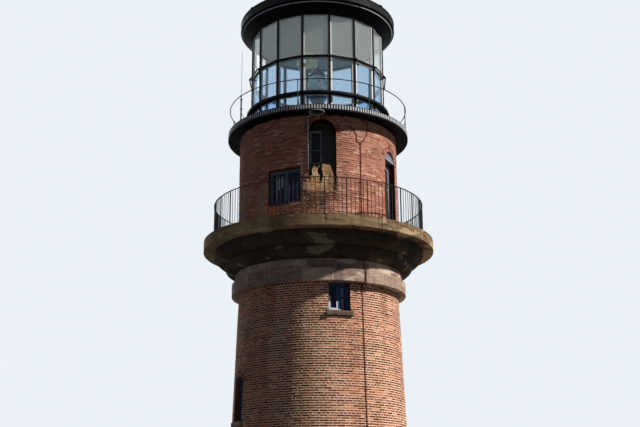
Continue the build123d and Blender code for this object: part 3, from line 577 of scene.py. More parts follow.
def layCourses(bottom, top, radiusAt, gaps):
    # one point for each brick, bed joint and upright joint
    pick = random.Random(bricks["seed"])
    laid, beds, uprights = [], [], []
    rows = round((top - bottom) / bricks["course"])
    height = (top - bottom) / rows
    lean = -math.atan((radiusAt(bottom) - radiusAt(top)) / (top - bottom))

    def gapsAt(z):
        found = []
        for gap in gaps:
            half = max(blockedHalf(gap, z + s * height * 0.4) for s in (-1, 0, 1))
            if half:
                spread = math.degrees(math.asin(half / radiusAt(z)))
                found.append((gap["bearing"] - spread, gap["bearing"] + spread))
        return found

    def putOn(points, bearing, z, size, tone, roll=0.0):
        points.append(onWall(radiusAt(z), bearing, z, size, tone, lean, roll))

    for row in range(rows):
        z = bottom + (row + 0.5) * height
        radius = radiusAt(z)
        stretchers = round(2 * math.pi * radius / bricks["stretcher"])
        header = row % bricks["headerEvery"] == bricks["headerEvery"] - 1
        count = stretchers * (2 if header else 1)
        step = 360 / count
        start = step * (0.5 * (row % 2) + pick.uniform(-bricks["startShift"], bricks["startShift"]))
        blocked = gapsAt(z)
        rowTone = pick.gauss(0.5, bricks["rowTone"])
        for i in range(count):
            wobble = pick.uniform(-bricks["wobble"], bricks["wobble"]) * step
            first = start + i * step + wobble
            for low, high in openParts(first, start + (i + 1) * step + wobble, blocked):
                width = math.radians(high - low) * radius
                if width < bricks["shortest"]:
                    continue
                tone = min(1, max(0, pick.gauss(rowTone, bricks["brickTone"])))
                putOn(laid, (low + high) / 2, z, (width - bricks["joint"], bricks["proud"] * pick.uniform(0.2, 1.15),
                      (height - bricks["joint"]) * pick.uniform(0.9, 1.04)), tone)
                if low == first:
                    putOn(uprights, low, z, (bricks["upright"] * pick.uniform(0.7, 1.3),
                          bricks["mortarProud"] * pick.uniform(0.4, 1.0), height * 0.8), pick.random())
        if row == 0:
            continue
        edge = bottom + row * height
        step = 360 / stretchers
        shift = 0.3 * (row % 3)
        blocked = gapsAt(edge)
        for i in range(stretchers):
            for low, high in openParts((i + shift) * step, (i + 1 + shift) * step, blocked):
                width = math.radians(high - low) * radius
                putOn(beds, (low + high) / 2, edge, (width * 1.02, bricks["mortarProud"] * pick.uniform(0.55, 1.1),
                      bricks["bed"] * pick.uniform(0.85, 1.2)), pick.random())
    for gap in gaps:
        if gap["rise"]:
            layArch(gap, radiusAt, putOn, laid, uprights, pick)
    return laid, beds, uprights


def layArch(gap, radiusAt, putOn, laid, uprights, pick):
    # bricks on end round an arch, with joints between them
    radius, centre = archOf(gap)
    spread = math.asin(min(1, gap["half"] / radius))
    if centre > gap["spring"]:
        spread = math.pi - spread
    ring, joint = bricks["archRing"], bricks["archJoint"]
    middle = radius + ring / 2
    count = round(2 * spread * middle / bricks["archBrick"])
    wide = 2 * spread * middle / count
    brick = (wide - joint, bricks["proud"] * 1.3, ring - joint)
    for i in range(count + 1):
        for points, shift, size in ((laid, 0.5, brick), (uprights, 0.0, (0.014, bricks["mortarProud"], ring))):
            if points is laid and i == count:
                continue
            angle = -spread + (i + shift) * 2 * spread / count
            z = centre + middle * math.cos(angle)
            bearing = gap["bearing"] + math.degrees(math.asin(middle * math.sin(angle) / radiusAt(z)))
            putOn(points, bearing, z, size, pick.uniform(0.1, 0.8), angle)


def brickBlocks(count, seed):
    # worn brick faces, one unit wide and high, standing one unit off the wall
    pick = random.Random(seed)
    corners = ((-0.5, -0.5), (0.0, -0.5), (0.5, -0.5), (0.5, 0.5), (0.0, 0.5), (-0.5, 0.5))
    faces = [(i, (i + 1) % 6, 6 + (i + 1) % 6, 6 + i) for i in range(6)] + [(6, 7, 10, 11), (7, 8, 9, 10)]
    made = []
    for index in range(count):
        verts = []
        for inset, depth in ((0.0, 0.0), (1.0, -1.0)):
            for x, z in corners:
                along = x * (1 - 0.05 * inset * pick.uniform(0.4, 2.2))
                up = z * (1 - 0.2 * inset * pick.uniform(0.3, 1.6))
                verts.append((along, depth * pick.uniform(0.55, 1.0), up))
        made.append((f"brickBlock{index}", verts, faces))
    return made


def mortarBlocks(count, seed, upright=False):
    # lumpy bead of mortar
    pick = random.Random(seed)
    stations = (-0.5, 0.5) if upright else (-0.5, 0.0, 0.5)
    made = []
    for index in range(count):
        verts, faces = [], []
        for along in stations:
            lump = pick.uniform(0.7, 1.0)
            for across, depth in ((-0.5, 0.0), (-0.28 * lump, -lump), (0.3 * lump, -pick.uniform(0.7, 1.0)),
                                  (0.5, 0.0)):
                verts.append((across, depth, along) if upright else (along, depth, across))
        for s in range(len(stations) - 1):
            for a in range(s * 4, s * 4 + 3):
                faces.append((a, a + 1, a + 5, a + 4) if upright else (a, a + 4, a + 5, a + 1))
        made.append((f"mortarBlock{index}", verts, faces))
    return made


def randomValue(tree, kind, **values):
    # the sockets of the kind in use are the enabled ones
    made = node(tree, "FunctionNodeRandomValue", data_type=kind)
    for key, value in values.items():
        attach(tree, value, [s for s in made.inputs if s.name == key and s.enabled][0])
    return [s for s in made.outputs if s.enabled][0]


def scatterTree(name):
    # puts one of a few blocks on every point, with the point's own turn and size
    tree = bpy.data.node_groups.new(name, "GeometryNodeTree")
    for label, kind in (("Points", "Geometry"), ("Blocks", "Collection"), ("Size spread", "Float"), ("Seed", "Int"),
                        ("Finish", "Material")):
        tree.interface.new_socket(label, in_out="INPUT", socket_type="NodeSocket" + kind)
    tree.interface.new_socket("Geometry", in_out="OUTPUT", socket_type="NodeSocketGeometry")
    given = node(tree, "NodeGroupInput").outputs
    turn, size = (node(tree, "GeometryNodeInputNamedAttribute", {"Name": key},
                       data_type="FLOAT_VECTOR").outputs["Attribute"]
                  for key in ("turn", "size"))
    jitter = randomValue(tree, "FLOAT", Min=maths(tree, "SUBTRACT", 1.0, given["Size spread"]),
                         Max=maths(tree, "ADD", 1.0, given["Size spread"]), Seed=given["Seed"])
    scaled = node(tree, "ShaderNodeVectorMath", {0: size, "Scale": jitter}, operation="SCALE").outputs["Vector"]
    blocks = node(tree, "GeometryNodeCollectionInfo", {"Collection": given["Blocks"], "Separate Children": True,
                  "Reset Children": True}).outputs[0]
    placed = node(tree, "GeometryNodeInstanceOnPoints", {
        "Points": given["Points"], "Instance": blocks, "Pick Instance": True, "Rotation": turn, "Scale": scaled,
        "Instance Index": randomValue(tree, "INT", Min=0, Max=50, Seed=given["Seed"])}).outputs["Instances"]
    real = node(tree, "GeometryNodeRealizeInstances", {"Geometry": placed}).outputs["Geometry"]
    done = node(tree, "GeometryNodeSetMaterial", {"Geometry": real, "Material": given["Finish"]}).outputs["Geometry"]
    node(tree, "NodeGroupOutput", {"Geometry": done})
    return tree


scatter = scatterTree("blocksOnWall")
inputs = {item.name: item.identifier for item in scatter.interface.items_tree if item.in_out == "INPUT"}


def scatterPiece(name, points, blocks, look, spread=0.0, seed=7, hides=()):
    # runs the tree once and keeps the result as a plain mesh
    holder = bpy.data.collections.new(name + "Blocks")
    scene.collection.children.link(holder)
    helpers = [meshObject(*block) for block in blocks]
    for helper in helpers:
        scene.collection.objects.unlink(helper)
        holder.objects.link(helper)
    carrier = meshObject(name + "Points", [p[0] for p in points], [])
    for i, key in enumerate(("turn", "size", "tone"), 1):
        setLayer(carrier, key, [p[i] for p in points], key != "tone")
    modifier = carrier.modifiers.new("scatter", "NODES")
    modifier.node_group = scatter
    for key, value in (("Blocks", holder), ("Size spread", spread), ("Seed", seed), ("Finish", finish[look])):
        modifier[inputs[key]] = value
    mesh = bpy.data.meshes.new_from_object(carrier.evaluated_get(bpy.context.evaluated_depsgraph_get()))
    mesh.name = name
    for key in ("turn", "size"):
        if key in mesh.attributes:
            mesh.attributes.remove(mesh.attributes[key])
    for obj in [carrier, *helpers]:
        bpy.data.objects.remove(obj)
    bpy.data.collections.remove(holder)
    piece = bpy.data.objects.new(name, mesh)
    scene.collection.objects.link(piece)
    print(name, "made:", len(points), "blocks,", sum(len(p.vertices) - 2 for p in mesh.polygons), "triangles")
    return dress(piece, look, hides=hides)


for wall, bottom, top, radiusAt, gaps, mortar in (
        ("shaft", tower["shaftFoot"], tower["shaftTop"], shaftRadiusAt, shaftGaps, "limeMortar"),
        ("watch", tower["deckTop"], tower["watchTop"], watchRadiusAt, watchGaps, "watchMortar")):
    laid, beds, uprights = layCourses(bottom, top, radiusAt, gaps)
    scatterPiece(wall + "Bricks", laid, brickBlocks(9, 5), wall + "Brick", 0.03, 3)
    scatterPiece(wall + "BedMortar", beds, mortarBlocks(7, 8), mortar, 0.03, 4)
    scatterPiece(wall + "UprightMortar", uprights, mortarBlocks(5, 9, True), mortar, 0.03, 5)

# Stone courses; profiles are (radius, height) corners of the outside from the foot up, three for a moulding
courses = {
    "belt": {"profile": [(2.25, 6.22), (2.25, 6.53)], "stones": 18, "first": 29.6, "wear": 0.004, "chip": 0.01},
    "frieze": {"profile": [(2.16, 6.53), (2.16, 6.78)], "stones": 16, "first": 12.0, "wear": 0.006, "chip": 0.012},
    "lowerMoulding": {"profile": [(2.16, 6.78), (2.445, 7.005), (2.445, 7.05)], "stones": 18, "first": -9.0,
                      "wear": 0.008, "chip": 0.02},
    "upperMoulding": {"profile": [(2.445, 7.05), (2.715, 7.325), (2.715, 7.37)], "stones": 20, "first": 3.0,
                      "wear": 0.008, "chip": 0.02},
    "deck": {"profile": [(3.0, 7.37), (3.0, 7.65)], "stones": 14, "first": 2.9, "wear": 0.007, "chip": 0.022},
    "base": {"profile": [(2.35, 0.002), (2.35, 0.345), (2.275, 0.402), (2.262, 0.406)], "stones": 16,
             "first": 196.9, "sweep": 326.2, "wear": 0.006, "chip": 0.02},
    "joint": 0.0035, "rise": 0.028, "along": 0.06, "smoothInside": 0.3, "wave": 3.1, "pits": 11.0, "edgeWear": 0.003,
    "seed": 31,
}


def mouldingLine(foot, head, steps):
    # quarter round, level at its foot and upright at its head
    angles = [math.pi / 2 * s / steps for s in range(steps + 1)]
    return [(foot[0] + (head[0] - foot[0]) * math.sin(a), head[1] - (head[1] - foot[1]) * math.cos(a)) for a in angles]


def finerLine(line, longest):
    finer = [line[0]]
    for (r0, z0), (r1, z1) in zip(line, line[1:]):
        count = max(1, math.ceil(math.hypot(r1 - r0, z1 - z0) / longest))
        finer += [(r0 + (r1 - r0) * s / count, z0 + (z1 - z0) * s / count) for s in range(1, count + 1)]
    return finer


def courseOutline(line, inner):
    # closed outline of one course: bed, face, top
    if len(line) == 3:
        line = mouldingLine(line[0], line[1], 14) + [line[2]]
    bottom, top = line[0], line[-1]
    bed = finerLine([(max(inner, bottom[0] - 0.5), bottom[1]), bottom], courses["rise"] * 2)
    roof = finerLine([top, (max(inner, top[0] - 1.1), top[1])], courses["rise"] * 2.5)
    back = [(inner, top[1])] if roof[-1][0] > inner else []
    return [(inner, bottom[1])] + bed + finerLine(line, courses["rise"])[1:] + roof[1:] + back


def stoneRing(course, look, hides=(), inner=1.5):
    name, values = course + "Stones", courses[course]
    outline = courseOutline(values["profile"], inner)
    normals, turns = [], []
    for i, (rb, zb) in enumerate(outline):
        (ra, za), (rc, zc) = outline[i - 1], outline[(i + 1) % len(outline)]
        length = math.hypot(rc - ra, zc - za)
        normals.append(((zc - za) / length, -(rc - ra) / length))
        turns.append(abs(math.atan2((rb - ra) * (zc - zb) - (zb - za) * (rc - rb),
                                    (rb - ra) * (rc - rb) + (zb - za) * (zc - zb))))
    widest = max(r for r, z in outline)
    pick = random.Random(courses["seed"] + len(name))
    span = values.get("sweep", 360) / values["stones"]
    gap = math.degrees(courses["joint"] / widest)
    steps = max(2, math.ceil(math.radians(span) * widest / courses["along"]))
    shape = Shape()
    for stone in range(values["stones"]):
        verts = []
        for s in range(steps + 1):
            bearing = values["first"] + stone * span + gap / 2 + (span - gap) * s / steps
            for (r, z), (nr, nz), turn in zip(outline, normals, turns):
                inward = 0.0
                if r > inner + courses["smoothInside"]:
                    place = onTower(r, bearing, z)
                    wave = noise.fractal(place * courses["wave"], 0.9, 2.0, 3)
                    inward = values["wear"] * min(1.0, max(0.0, 0.45 + 0.6 * wave))
                    if turn > 0.5 or s in (0, steps):
                        pits = max(0.0, noise.noise(place * courses["pits"]) - 0.18)
                        inward += courses["edgeWear"] + values["chip"] * pits
                verts.append(onTower(r - nr * inward, bearing, z - nz * inward))
        shape.add(verts, loftFaces(steps + 1, len(outline)), tone=pick.random())
    print(name, "made:", values["stones"], "stones,", len(shape.faces), "faces")
    shape.dress(name, look, "brownstone", hides=hides)


stoneRing("belt", "beltStone", ["belt_course"])
stoneRing("frieze", "beltStone", ["frieze"])
stoneRing("lowerMoulding", "corniceStone", ["cornice"])
stoneRing("upperMoulding", "corniceStone", ["cornice"])
stoneRing("deck", "deckStone", ["gallery_deck"])
watchFloor = Shape()
watchFloor.lathe([(0, 7.372), (1.498, 7.372), (1.498, 7.648), (0, 7.648)], 96)
watchFloor.dress("watchRoomFloor", "deckStone", "brownstone")

# Gallery railing
railing = {
    "radius": 2.74, "height": 0.99, "posts": 32, "firstPost": -8.0, "perBay": 4, "post": 0.026, "foot": 0.07,
    "baluster": 0.016, "topRail": (0.036, 0.014), "lowRail": (0.03, 0.012), "lowRailAbove": 0.077,
}
deckTop, lowRail = tower["deckTop"], tower["deckTop"] + railing["lowRailAbove"]
rails = Shape()
rails.ringBar(railing["radius"], deckTop + railing["height"] - railing["topRail"][1] / 2, *railing["topRail"])
rails.ringBar(railing["radius"], lowRail, *railing["lowRail"])
uprightCount = railing["posts"] * (railing["perBay"] + 1)
balusterPoints, postPoints = [], []
for i in range(uprightCount):
    bearing = railing["firstPost"] + i * 360 / uprightCount
    if i % (railing["perBay"] + 1):
        balusterPoints.append(onWall(railing["radius"], bearing, lowRail))
    else:
        postPoints.append(onWall(railing["radius"], bearing, deckTop))


def balusterBlock(index):
    # round bar let into both rails, a little bowed
    shape = Shape()
    length = railing["height"] - railing["lowRailAbove"] - 0.008
    bow = (index - 1) * 0.0012
    shape.tube([(0, 0, 0), (bow, 0, length * 0.33), (bow, 0, length * 0.66), (0, 0, length)],
               railing["baluster"] / 2, 6)
    return shape.block(f"baluster{index}")


def postBlock():
    # post on a bolted foot plate with a small flared collar
    shape = Shape()
    w, f = railing["post"] / 2, railing["foot"] / 2
    shape.box((-w, -w, 0), (w, w, railing["height"] - 0.012))
    shape.box((-f, -f, 0), (f, f, 0.012))
    shape.lathe([(0, 0.012), (w * 1.9, 0.012), (w * 1.7, 0.026), (w * 1.2, 0.045), (0, 0.045)], 10)
    for x in (-0.7 * f, 0.7 * f):
        for y in (-0.7 * f, 0.7 * f):
            shape.lathe([(0, 0.012), (0.006, 0.012), (0.006, 0.019), (0, 0.019)], 6, (x, y, 0))
    return shape.block("railPost")


rails.dress("galleryRails", "railIron", "black_iron", hides=["gallery_railing_panels"])
scatterPiece("galleryBalusters", balusterPoints, [balusterBlock(i) for i in range(3)], "railIron",
             hides=["gallery_railing_panels"])
scatterPiece("galleryPosts", postPoints, [postBlock()], "railIron", hides=["gallery_railing_posts"])

# Lantern; rows are (name, bottom, top, width of the upright strips)
lantern = {
    "radius": 1.83, "turn": -12.5, "sides": 16, "mullionHalf": 0.0233, "glassFar": 1.7608, "glassNear": 1.7508,
    "rows": (("Lower", 10.6403, 11.1817, 0.045), ("Middle", 11.2183, 12.2217, 0.045),
             ("Upper", 12.2583, 13.4337, 0.026)),
    "strip": 0.026, "stripDepth": 0.014,
    "postBolts": (10.6, 10.9, 11.13, 11.26, 11.6, 11.95, 12.19, 12.3, 12.7, 13.1, 13.4),
    "bayBolts": (10.6, 12.24, 13.452), "bayBoltSides": (-0.24, 0.0, 0.24),
}
facing = math.cos(math.pi / lantern["sides"])
bay = 360 / lantern["sides"]
postTurns = [lantern["turn"] + bay * i for i in range(lantern["sides"])]
bayTurns = [lantern["turn"] + bay * (i + 0.5) for i in range(lantern["sides"])]
bays = [spot((0, 0, 0), bearing) for bearing in bayTurns]


def stripFrame(bottom, top, side):
    # putty strip round a pane, outside and inside the glass
    shape = Shape()
    half = lantern["glassFar"] * math.tan(math.pi / lantern["sides"]) - lantern["mullionHalf"] / facing - 0.0005
    w, d = lantern["strip"], lantern["stripDepth"]
    for near, far in ((lantern["glassFar"] + 0.0004, lantern["glassFar"] + d),
                      (lantern["glassNear"] - d, lantern["glassNear"] - 0.0004)):
        for x0, x1, z0, z1 in ((-half, -half + side, bottom, top), (half - side, half, bottom, top),
                               (-half + side, half - side, bottom, bottom + w),
                               (-half + side, half - side, top - w, top)):
            shape.box((x0, -far, z0), (x1, -near, z1))
    return shape.block("paneStrip")


for row, *values in lantern["rows"]:
    scatterPiece("paneFrames" + row, bays, [stripFrame(*values)], "paneFramePaint")

bolt, rivet = Shape(), Shape()  # heads standing towards -Y, the bolt's on a washer
bolt.lathe([(0, 0), (0.01595, 0), (0.01595, 0.0027), (0.011, 0.0027), (0.011, 0.00765), (0.00825, 0.009),
            (0, 0.009)], 6, axis="y")
rivet.lathe([(0, 0), (0.009, 0), (0.0075, 0.004), (0.004, 0.006), (0, 0.0065)], 6, axis="y")
boltPoints = [onWall(lantern["radius"], bearing, z) for bearing in postTurns for z in lantern["postBolts"]]
boltPoints += [spot(turned((side, -lantern["radius"] * facing, z), bearing), bearing, 0.8)
               for bearing in bayTurns for side in lantern["bayBoltSides"] for z in lantern["bayBolts"]]
scatterPiece("lanternBolts", boltPoints, [bolt.block("bolt")], "blackIron")

eave = {"rim": 2.13, "bands": (13.736, 13.934), "band": (0.012, 0.03), "seamHalf": 0.03, "rivets": 96,
        "seamRivets": (13.77, 13.81, 13.85, 13.89), "bead": 0.013, "beadRadius": 2.075, "beadHeight": 13.668}
bead = Shape()
bead.tube(ringOf(eave["beadRadius"], eave["beadHeight"], 160), eave["bead"], 8, close=True)
bead.dress("eaveDripBead", "edgePaint", "black_iron", smooth=True)
trim = Shape()
for z in eave["bands"]:
    trim.ringBar(eave["rim"] + 0.004, z, *eave["band"])
low, high = eave["bands"][0] + eave["band"][1] / 2, eave["bands"][1] - eave["band"][1] / 2
for bearing in bayTurns:
    trim.box((-eave["seamHalf"], -eave["rim"] - 0.007, low), (eave["seamHalf"], -eave["rim"] + 0.004, high), bearing)
trim.dress("eaveTrim", "blackIron", "black_iron")
rivetPoints = [onWall(eave["rim"] + 0.0095, 360 * s / eave["rivets"], z) for s in range(eave["rivets"])
               for z in eave["bands"]]
rivetPoints += [onWall(eave["rim"] + 0.0065, bearing, z, 0.8) for bearing in bayTurns for z in eave["seamRivets"]]
scatterPiece("eaveRivets", rivetPoints, [rivet.block("rivet")], "blackIron")

ventilator = {"bottom": 14.9003, "neck": 0.17, "neckHeight": 0.11, "ball": 0.26, "bolts": 12, "boltRing": 0.215}
lowest = -math.acos(ventilator["neck"] / ventilator["ball"])
centre = ventilator["neckHeight"] - ventilator["ball"] * math.sin(lowest)
profile = [(0, 0), (0.25, 0), (0.25, 0.016), (0.246, 0.02), (0.185, 0.022), (0.172, 0.032), (0.168, 0.09)]
for s in range(23):
    angle = lowest + (math.pi / 2 - lowest) * s / 22
    r = ventilator["ball"] * math.cos(angle) if s < 22 else 0
    z = centre + ventilator["ball"] * math.sin(angle)
    profile.append((r, z))
    if s == 9:
        # raised band round the ball's widest part
        profile += [(r + 0.006, z + 0.001), (r + 0.006, z + 0.02), (r - 0.001, z + 0.022)]
ball = Shape()
ball.lathe(profile, 48, (0, 0, ventilator["bottom"]))
ball.dress("ventilatorBall", "blackIron", "black_iron", hides=["roof_ventilator"], smooth=True)
flangeBolts = [onWall(ventilator["boltRing"], 360 * s / ventilator["bolts"], ventilator["bottom"] + 0.021, 1.1, 0.5,
                      -math.pi / 2) for s in range(ventilator["bolts"])]
scatterPiece("ventilatorBolts", flangeBolts, [bolt.block("bolt")], "blackIron")

# Gallery round the lantern
gallery = {
    "bottom": 10.49, "floor": 10.56, "edgeTop": 10.65, "inner": 2.4133, "outer": 2.4253, "groove": (10.524, 10.64),
    "grooveDepth": 0.0045, "ease": 0.004, "ticks": 216, "tickLevel": 10.583, "plateGap": 0.15,
    "rail": 2.385, "railTop": 11.36, "tube": 0.0125, "posts": 8, "firstPost": -12.0, "plate": (1.87, 2.40),
}
rim, recessed, floorAt = gallery["outer"], gallery["outer"] - gallery["grooveDepth"], gallery["floor"]
(grooveLow, grooveHigh), ease = gallery["groove"], gallery["ease"]
edge = Shape()
edge.sweepRound([(gallery["inner"], gallery["bottom"]), (rim - 0.002, gallery["bottom"]),
                 (rim, gallery["bottom"] + 0.003), (rim, grooveLow), (recessed, grooveLow + ease),
                 (recessed, grooveHigh - ease), (rim, grooveHigh), (rim, gallery["edgeTop"] - 0.003),
                 (rim - 0.003, gallery["edgeTop"]), (gallery["inner"], gallery["edgeTop"])])
edge.dress("upperDeckEdge", "blackIron", "grey_paint", hides=["lantern_deck_edge"])
tick = Shape()
tick.box((-0.018, -0.0044, -0.05), (0.018, 0.0, 0.05), chamfer=0.0015)
ticks = [onWall(recessed, 360 * s / gallery["ticks"], gallery["tickLevel"]) for s in range(gallery["ticks"])]
scatterPiece("upperDeckTicks", ticks, [tick.block("tick")], "edgePaint", spread=0.02)

plate = Shape()
low, high = floorAt + 0.0003, floorAt + 0.004
inside, outside = gallery["plate"]
section = ((inside, high), (outside, high), (outside, low), (inside, low))
wide = bay - gallery["plateGap"]
plate.add([onTower(r, wide * (s / 10 - 0.5), z) for s in range(11) for r, z in section], loftFaces(11, 4))
scatterPiece("upperDeckPlates", bays, [plate.block("plate")], "blackIron")

hand = Shape()
hand.tube(ringOf(gallery["rail"], gallery["railTop"] - gallery["tube"], 128), gallery["tube"], close=True)
hand.tube(ringOf(gallery["rail"], floorAt + 0.03, 128), 0.006, 6, close=True)
hand.dress("upperHandrail", "railIron", "black_iron", hides=["lantern_handrail"], smooth=True)


def stanchion():
    # round post on a bolted plate, with an eye for the rail and a raking stay
    shape = Shape()
    d, z, top = gallery["rail"], gallery["floor"], gallery["railTop"] - gallery["tube"]
    shape.lathe([(0, z + 0.004), (0.04, z + 0.004), (0.04, z + 0.014), (0.018, z + 0.018), (0.0135, z + 0.05),
                 (0.0115, top - 0.05), (0.0135, top - 0.03), (0.02, top - 0.018), (0.022, top), (0.018, top + 0.012),
                 (0, top + 0.012)], 10, (0, -d, 0))
    shape.tube([(0, -d + 0.008, z + 0.33), (0, -d + 0.1, z + 0.175), (0, -d + 0.2, z + 0.02)], 0.0085, 8)
    shape.box((-0.025, -d + 0.175, z + 0.004), (0.025, -d + 0.24, z + 0.014))
    return shape.block("stanchion")


stanchions = [spot((0, 0, 0), gallery["firstPost"] + 360 * i / gallery["posts"]) for i in range(gallery["posts"])]
scatterPiece("upperStanchions", stanchions, [stanchion()], "railIron", hides=["lantern_railing_posts"])

# Beacon: two lamps back to back, each (x, height, turn); the drums have rolled rims, bands and a stepped back
beacon = {"lamps": ((0, 12.1733, 0), (0.3, 12.9126, 180)), "radius": 0.285, "depth": 0.3, "lens": 0.27, "rings": 9,
          "bullseye": 0.075}
r, d = beacon["radius"], beacon["depth"] / 2
drum = [(0, -d), (0.09, -d), (0.1, -d + 0.004), (0.19, -d + 0.006), (0.2, -d + 0.002), (r - 0.012, -d + 0.002),
        (r - 0.003, -d + 0.008), (r - 0.001, -d + 0.03), (r - 0.006, -d + 0.034), (r - 0.006, -0.02),
        (r - 0.001, -0.016),
        (r - 0.001, 0.016), (r - 0.006, 0.02), (r - 0.006, d - 0.026), (r, d - 0.022), (r, d - 0.002), (r - 0.004, d),
        (r - 0.012, d), (r - 0.014, d - 0.004), (r - 0.014, -d + 0.02), (0, -d + 0.02)]
front, inner = d - 0.006, beacon["bullseye"]
prism = (beacon["lens"] - 0.006 - inner) / beacon["rings"]
bullseye = [(0, front - 0.03), (beacon["lens"], front - 0.03), (beacon["lens"], front - 0.012)]
for s in range(beacon["rings"], 0, -1):
    bullseye += [(inner + prism * s, front - 0.014), (inner + prism * (s - 1) + 0.002, front - 0.002)]
bullseye += [(inner, front - 0.012), (inner * 0.8, front - 0.006), (inner * 0.4, front - 0.001), (0, front)]
housing, lenses = Shape(), Shape()
for x, z, turn in beacon["lamps"]:
    # centres are given before the turn
    housing.lathe(drum, 48, (x, 0, z), "y", turn)
    lenses.lathe(bullseye, 48, (x, 0, z), "y", turn)
for side in (-1, 1):
    z = beacon["lamps"][0][1]
    housing.tube([(side * 0.275, 0, z), (side * 0.3046, 0, z)], 0.022, 16)
housing.dress("beaconDrums", "beaconCream", "beacon_cream", "beacon", ["beacon_housings"], True)
lenses.dress("beaconBullseyes", "lensGlass", "lens_glass", "beacon", ["beacon_lenses"])
print("beacon made")

# Windows: frame, sashes and panes of each opening, built facing -Y and turned to its bearing
windows = {
    "frame": 0.055, "narrowFrame": 0.026, "depth": 0.08, "sash": 0.04, "narrowSash": 0.022, "sashSetback": 0.016,
    "sashDepth": 0.042, "pane": 0.006, "bar": 0.02,
    "stairTop": {"bearings": (14.1, 194.1), "half": 0.2694, "bottom": 5.5203, "top": 6.2197, "rise": 0.0,
                 "front": 1.9272, "shift": 0.0, "lights": 2, "rails": (0.5,)},
    "stairArch": {"bearings": (-66.0, 126.0), "half": 0.2694, "bottom": 3.0303, "top": 4.1097, "rise": 0.1297,
                  "front": 2.0024, "shift": 0.0, "lights": 1, "rails": (0.5,)},
    "watch": {"bearings": (-24.0, 141.0, 261.0), "half": 0.4444, "bottom": 8.2403, "top": 9.1197, "rise": 0.0,
              "front": 1.9372, "shift": 0.0, "lights": 2, "rails": ()},
    "recess": {"bearings": (3.1,), "half": 0.1544, "bottom": 9.2703, "top": 10.1497, "rise": 0.0,
               "front": 1.8164, "shift": -0.15, "lights": 1, "rails": (0.42,)},
}


def openingLine(hole, inset, steps=10):
    # outline of an opening, taken in all round
    half, bottom, top = hole["half"] - inset, hole["bottom"] + inset, hole["top"] - inset
    if not hole["rise"]:
        return [(half, bottom), (half, top), (-half, top), (-half, bottom)]
    radius = archRadius(hole["half"], hole["rise"])
    centre = hole["top"] - radius
    r = radius - inset
    spread = math.asin(half / r)
    angles = [spread * (1 - 2 * s / steps) for s in range(steps + 1)]
    return [(half, bottom)] + [(r * math.sin(a), centre + r * math.cos(a)) for a in angles] + [(-half, bottom)]


def frameRound(shape, hole, section, bearing, shift=0.0):
    # carries a closed section of (inset, distance from the axis) corners round an opening
    lines = [[(x + shift, -distance, z) for x, z in openingLine(hole, inset)] for inset, distance in section]
    shape.add([point for line in lines for point in line], loftFaces(len(lines), len(lines[0]), True), bearing)


def plateIn(shape, hole, inset, near, far, bearing, shift=0.0):
    # flat plate with the outline of an opening
    line = openingLine(hole, inset)
    shape.add([(x + shift, -d, z) for d in (far, near) for x, z in line], loftFaces(2, len(line)), bearing)


def windowInto(frames, sashes, panes, hole, bearing):
    front, back, shift = hole["front"], hole["front"] - windows["depth"], hole["shift"]
    bar = windows["frame"] if hole["half"] > 0.2 else windows["narrowFrame"]
    frameRound(frames, hole, [(0, back), (0, front), (bar - 0.01, front), (bar, front - 0.01), (bar, back)],
               bearing, shift)
    sashFront = front - windows["sashSetback"]
    sashBack = sashFront - windows["sashDepth"]
    clear = hole["half"] - bar
    lights = [(shift, clear)]
    if hole["lights"] == 2:
        mullion = bar / 2
        frames.box((shift - mullion, -front + 0.004, hole["bottom"] + bar),
                   (shift + mullion, -back, hole["top"] - bar),
                   bearing, 0.004)
        half = (clear - mullion) / 2
        lights = [(shift - mullion - half, half), (shift + mullion + half, half)]
    for middle, half in lights:
        light = dict(hole, half=half - 0.001, bottom=hole["bottom"] + bar + 0.001, top=hole["top"] - bar - 0.001,
                     rise=max(0.0, hole["rise"] - bar / 2))
        s = windows["sash"] if half > 0.15 else windows["narrowSash"]
        frameRound(sashes, light, [(0, sashBack), (0, sashFront), (s - 0.008, sashFront), (s, sashFront - 0.012),
                                   (s, sashBack)], bearing, middle)
        plateIn(panes, light, s - 0.004, sashBack + 0.012, sashBack + 0.012 + windows["pane"], bearing, middle)
        for share in hole["rails"]:
            z = light["bottom"] + (light["top"] - light["bottom"]) * share
            sashes.box((middle - half + s, -sashFront + 0.004, z - windows["bar"] / 2),
                       (middle + half - s, -sashBack - 0.002, z + windows["bar"] / 2), bearing, 0.004)


for name, cadName, kinds, *windowLooks in (
        ("shaft", "shaft", ("stairTop", "stairArch"), "framePaint", "sashPaint", "paneGlass"),
        ("watch", "watch", ("watch",), "tealPaint", "framePaint", "paneGlass"),
        ("recess", "watch", ("recess",), "recessPaint", "recessPaint", "voidGlass")):
    shapes = [Shape(), Shape(), Shape()]
    for kind in kinds:
        for bearing in windows[kind]["bearings"]:
            windowInto(*shapes, windows[kind], bearing)
    for shape, look, part, slotName, cadPart in zip(shapes, windowLooks, ("Frames", "Sashes", "Panes"), (
            "window_paint", "window_paint", "window_glass"), ("frames", "frames", "glass")):
        shape.dress(f"{name}Window{part}", look, slotName, hides=[f"{cadName}_window_{cadPart}"])
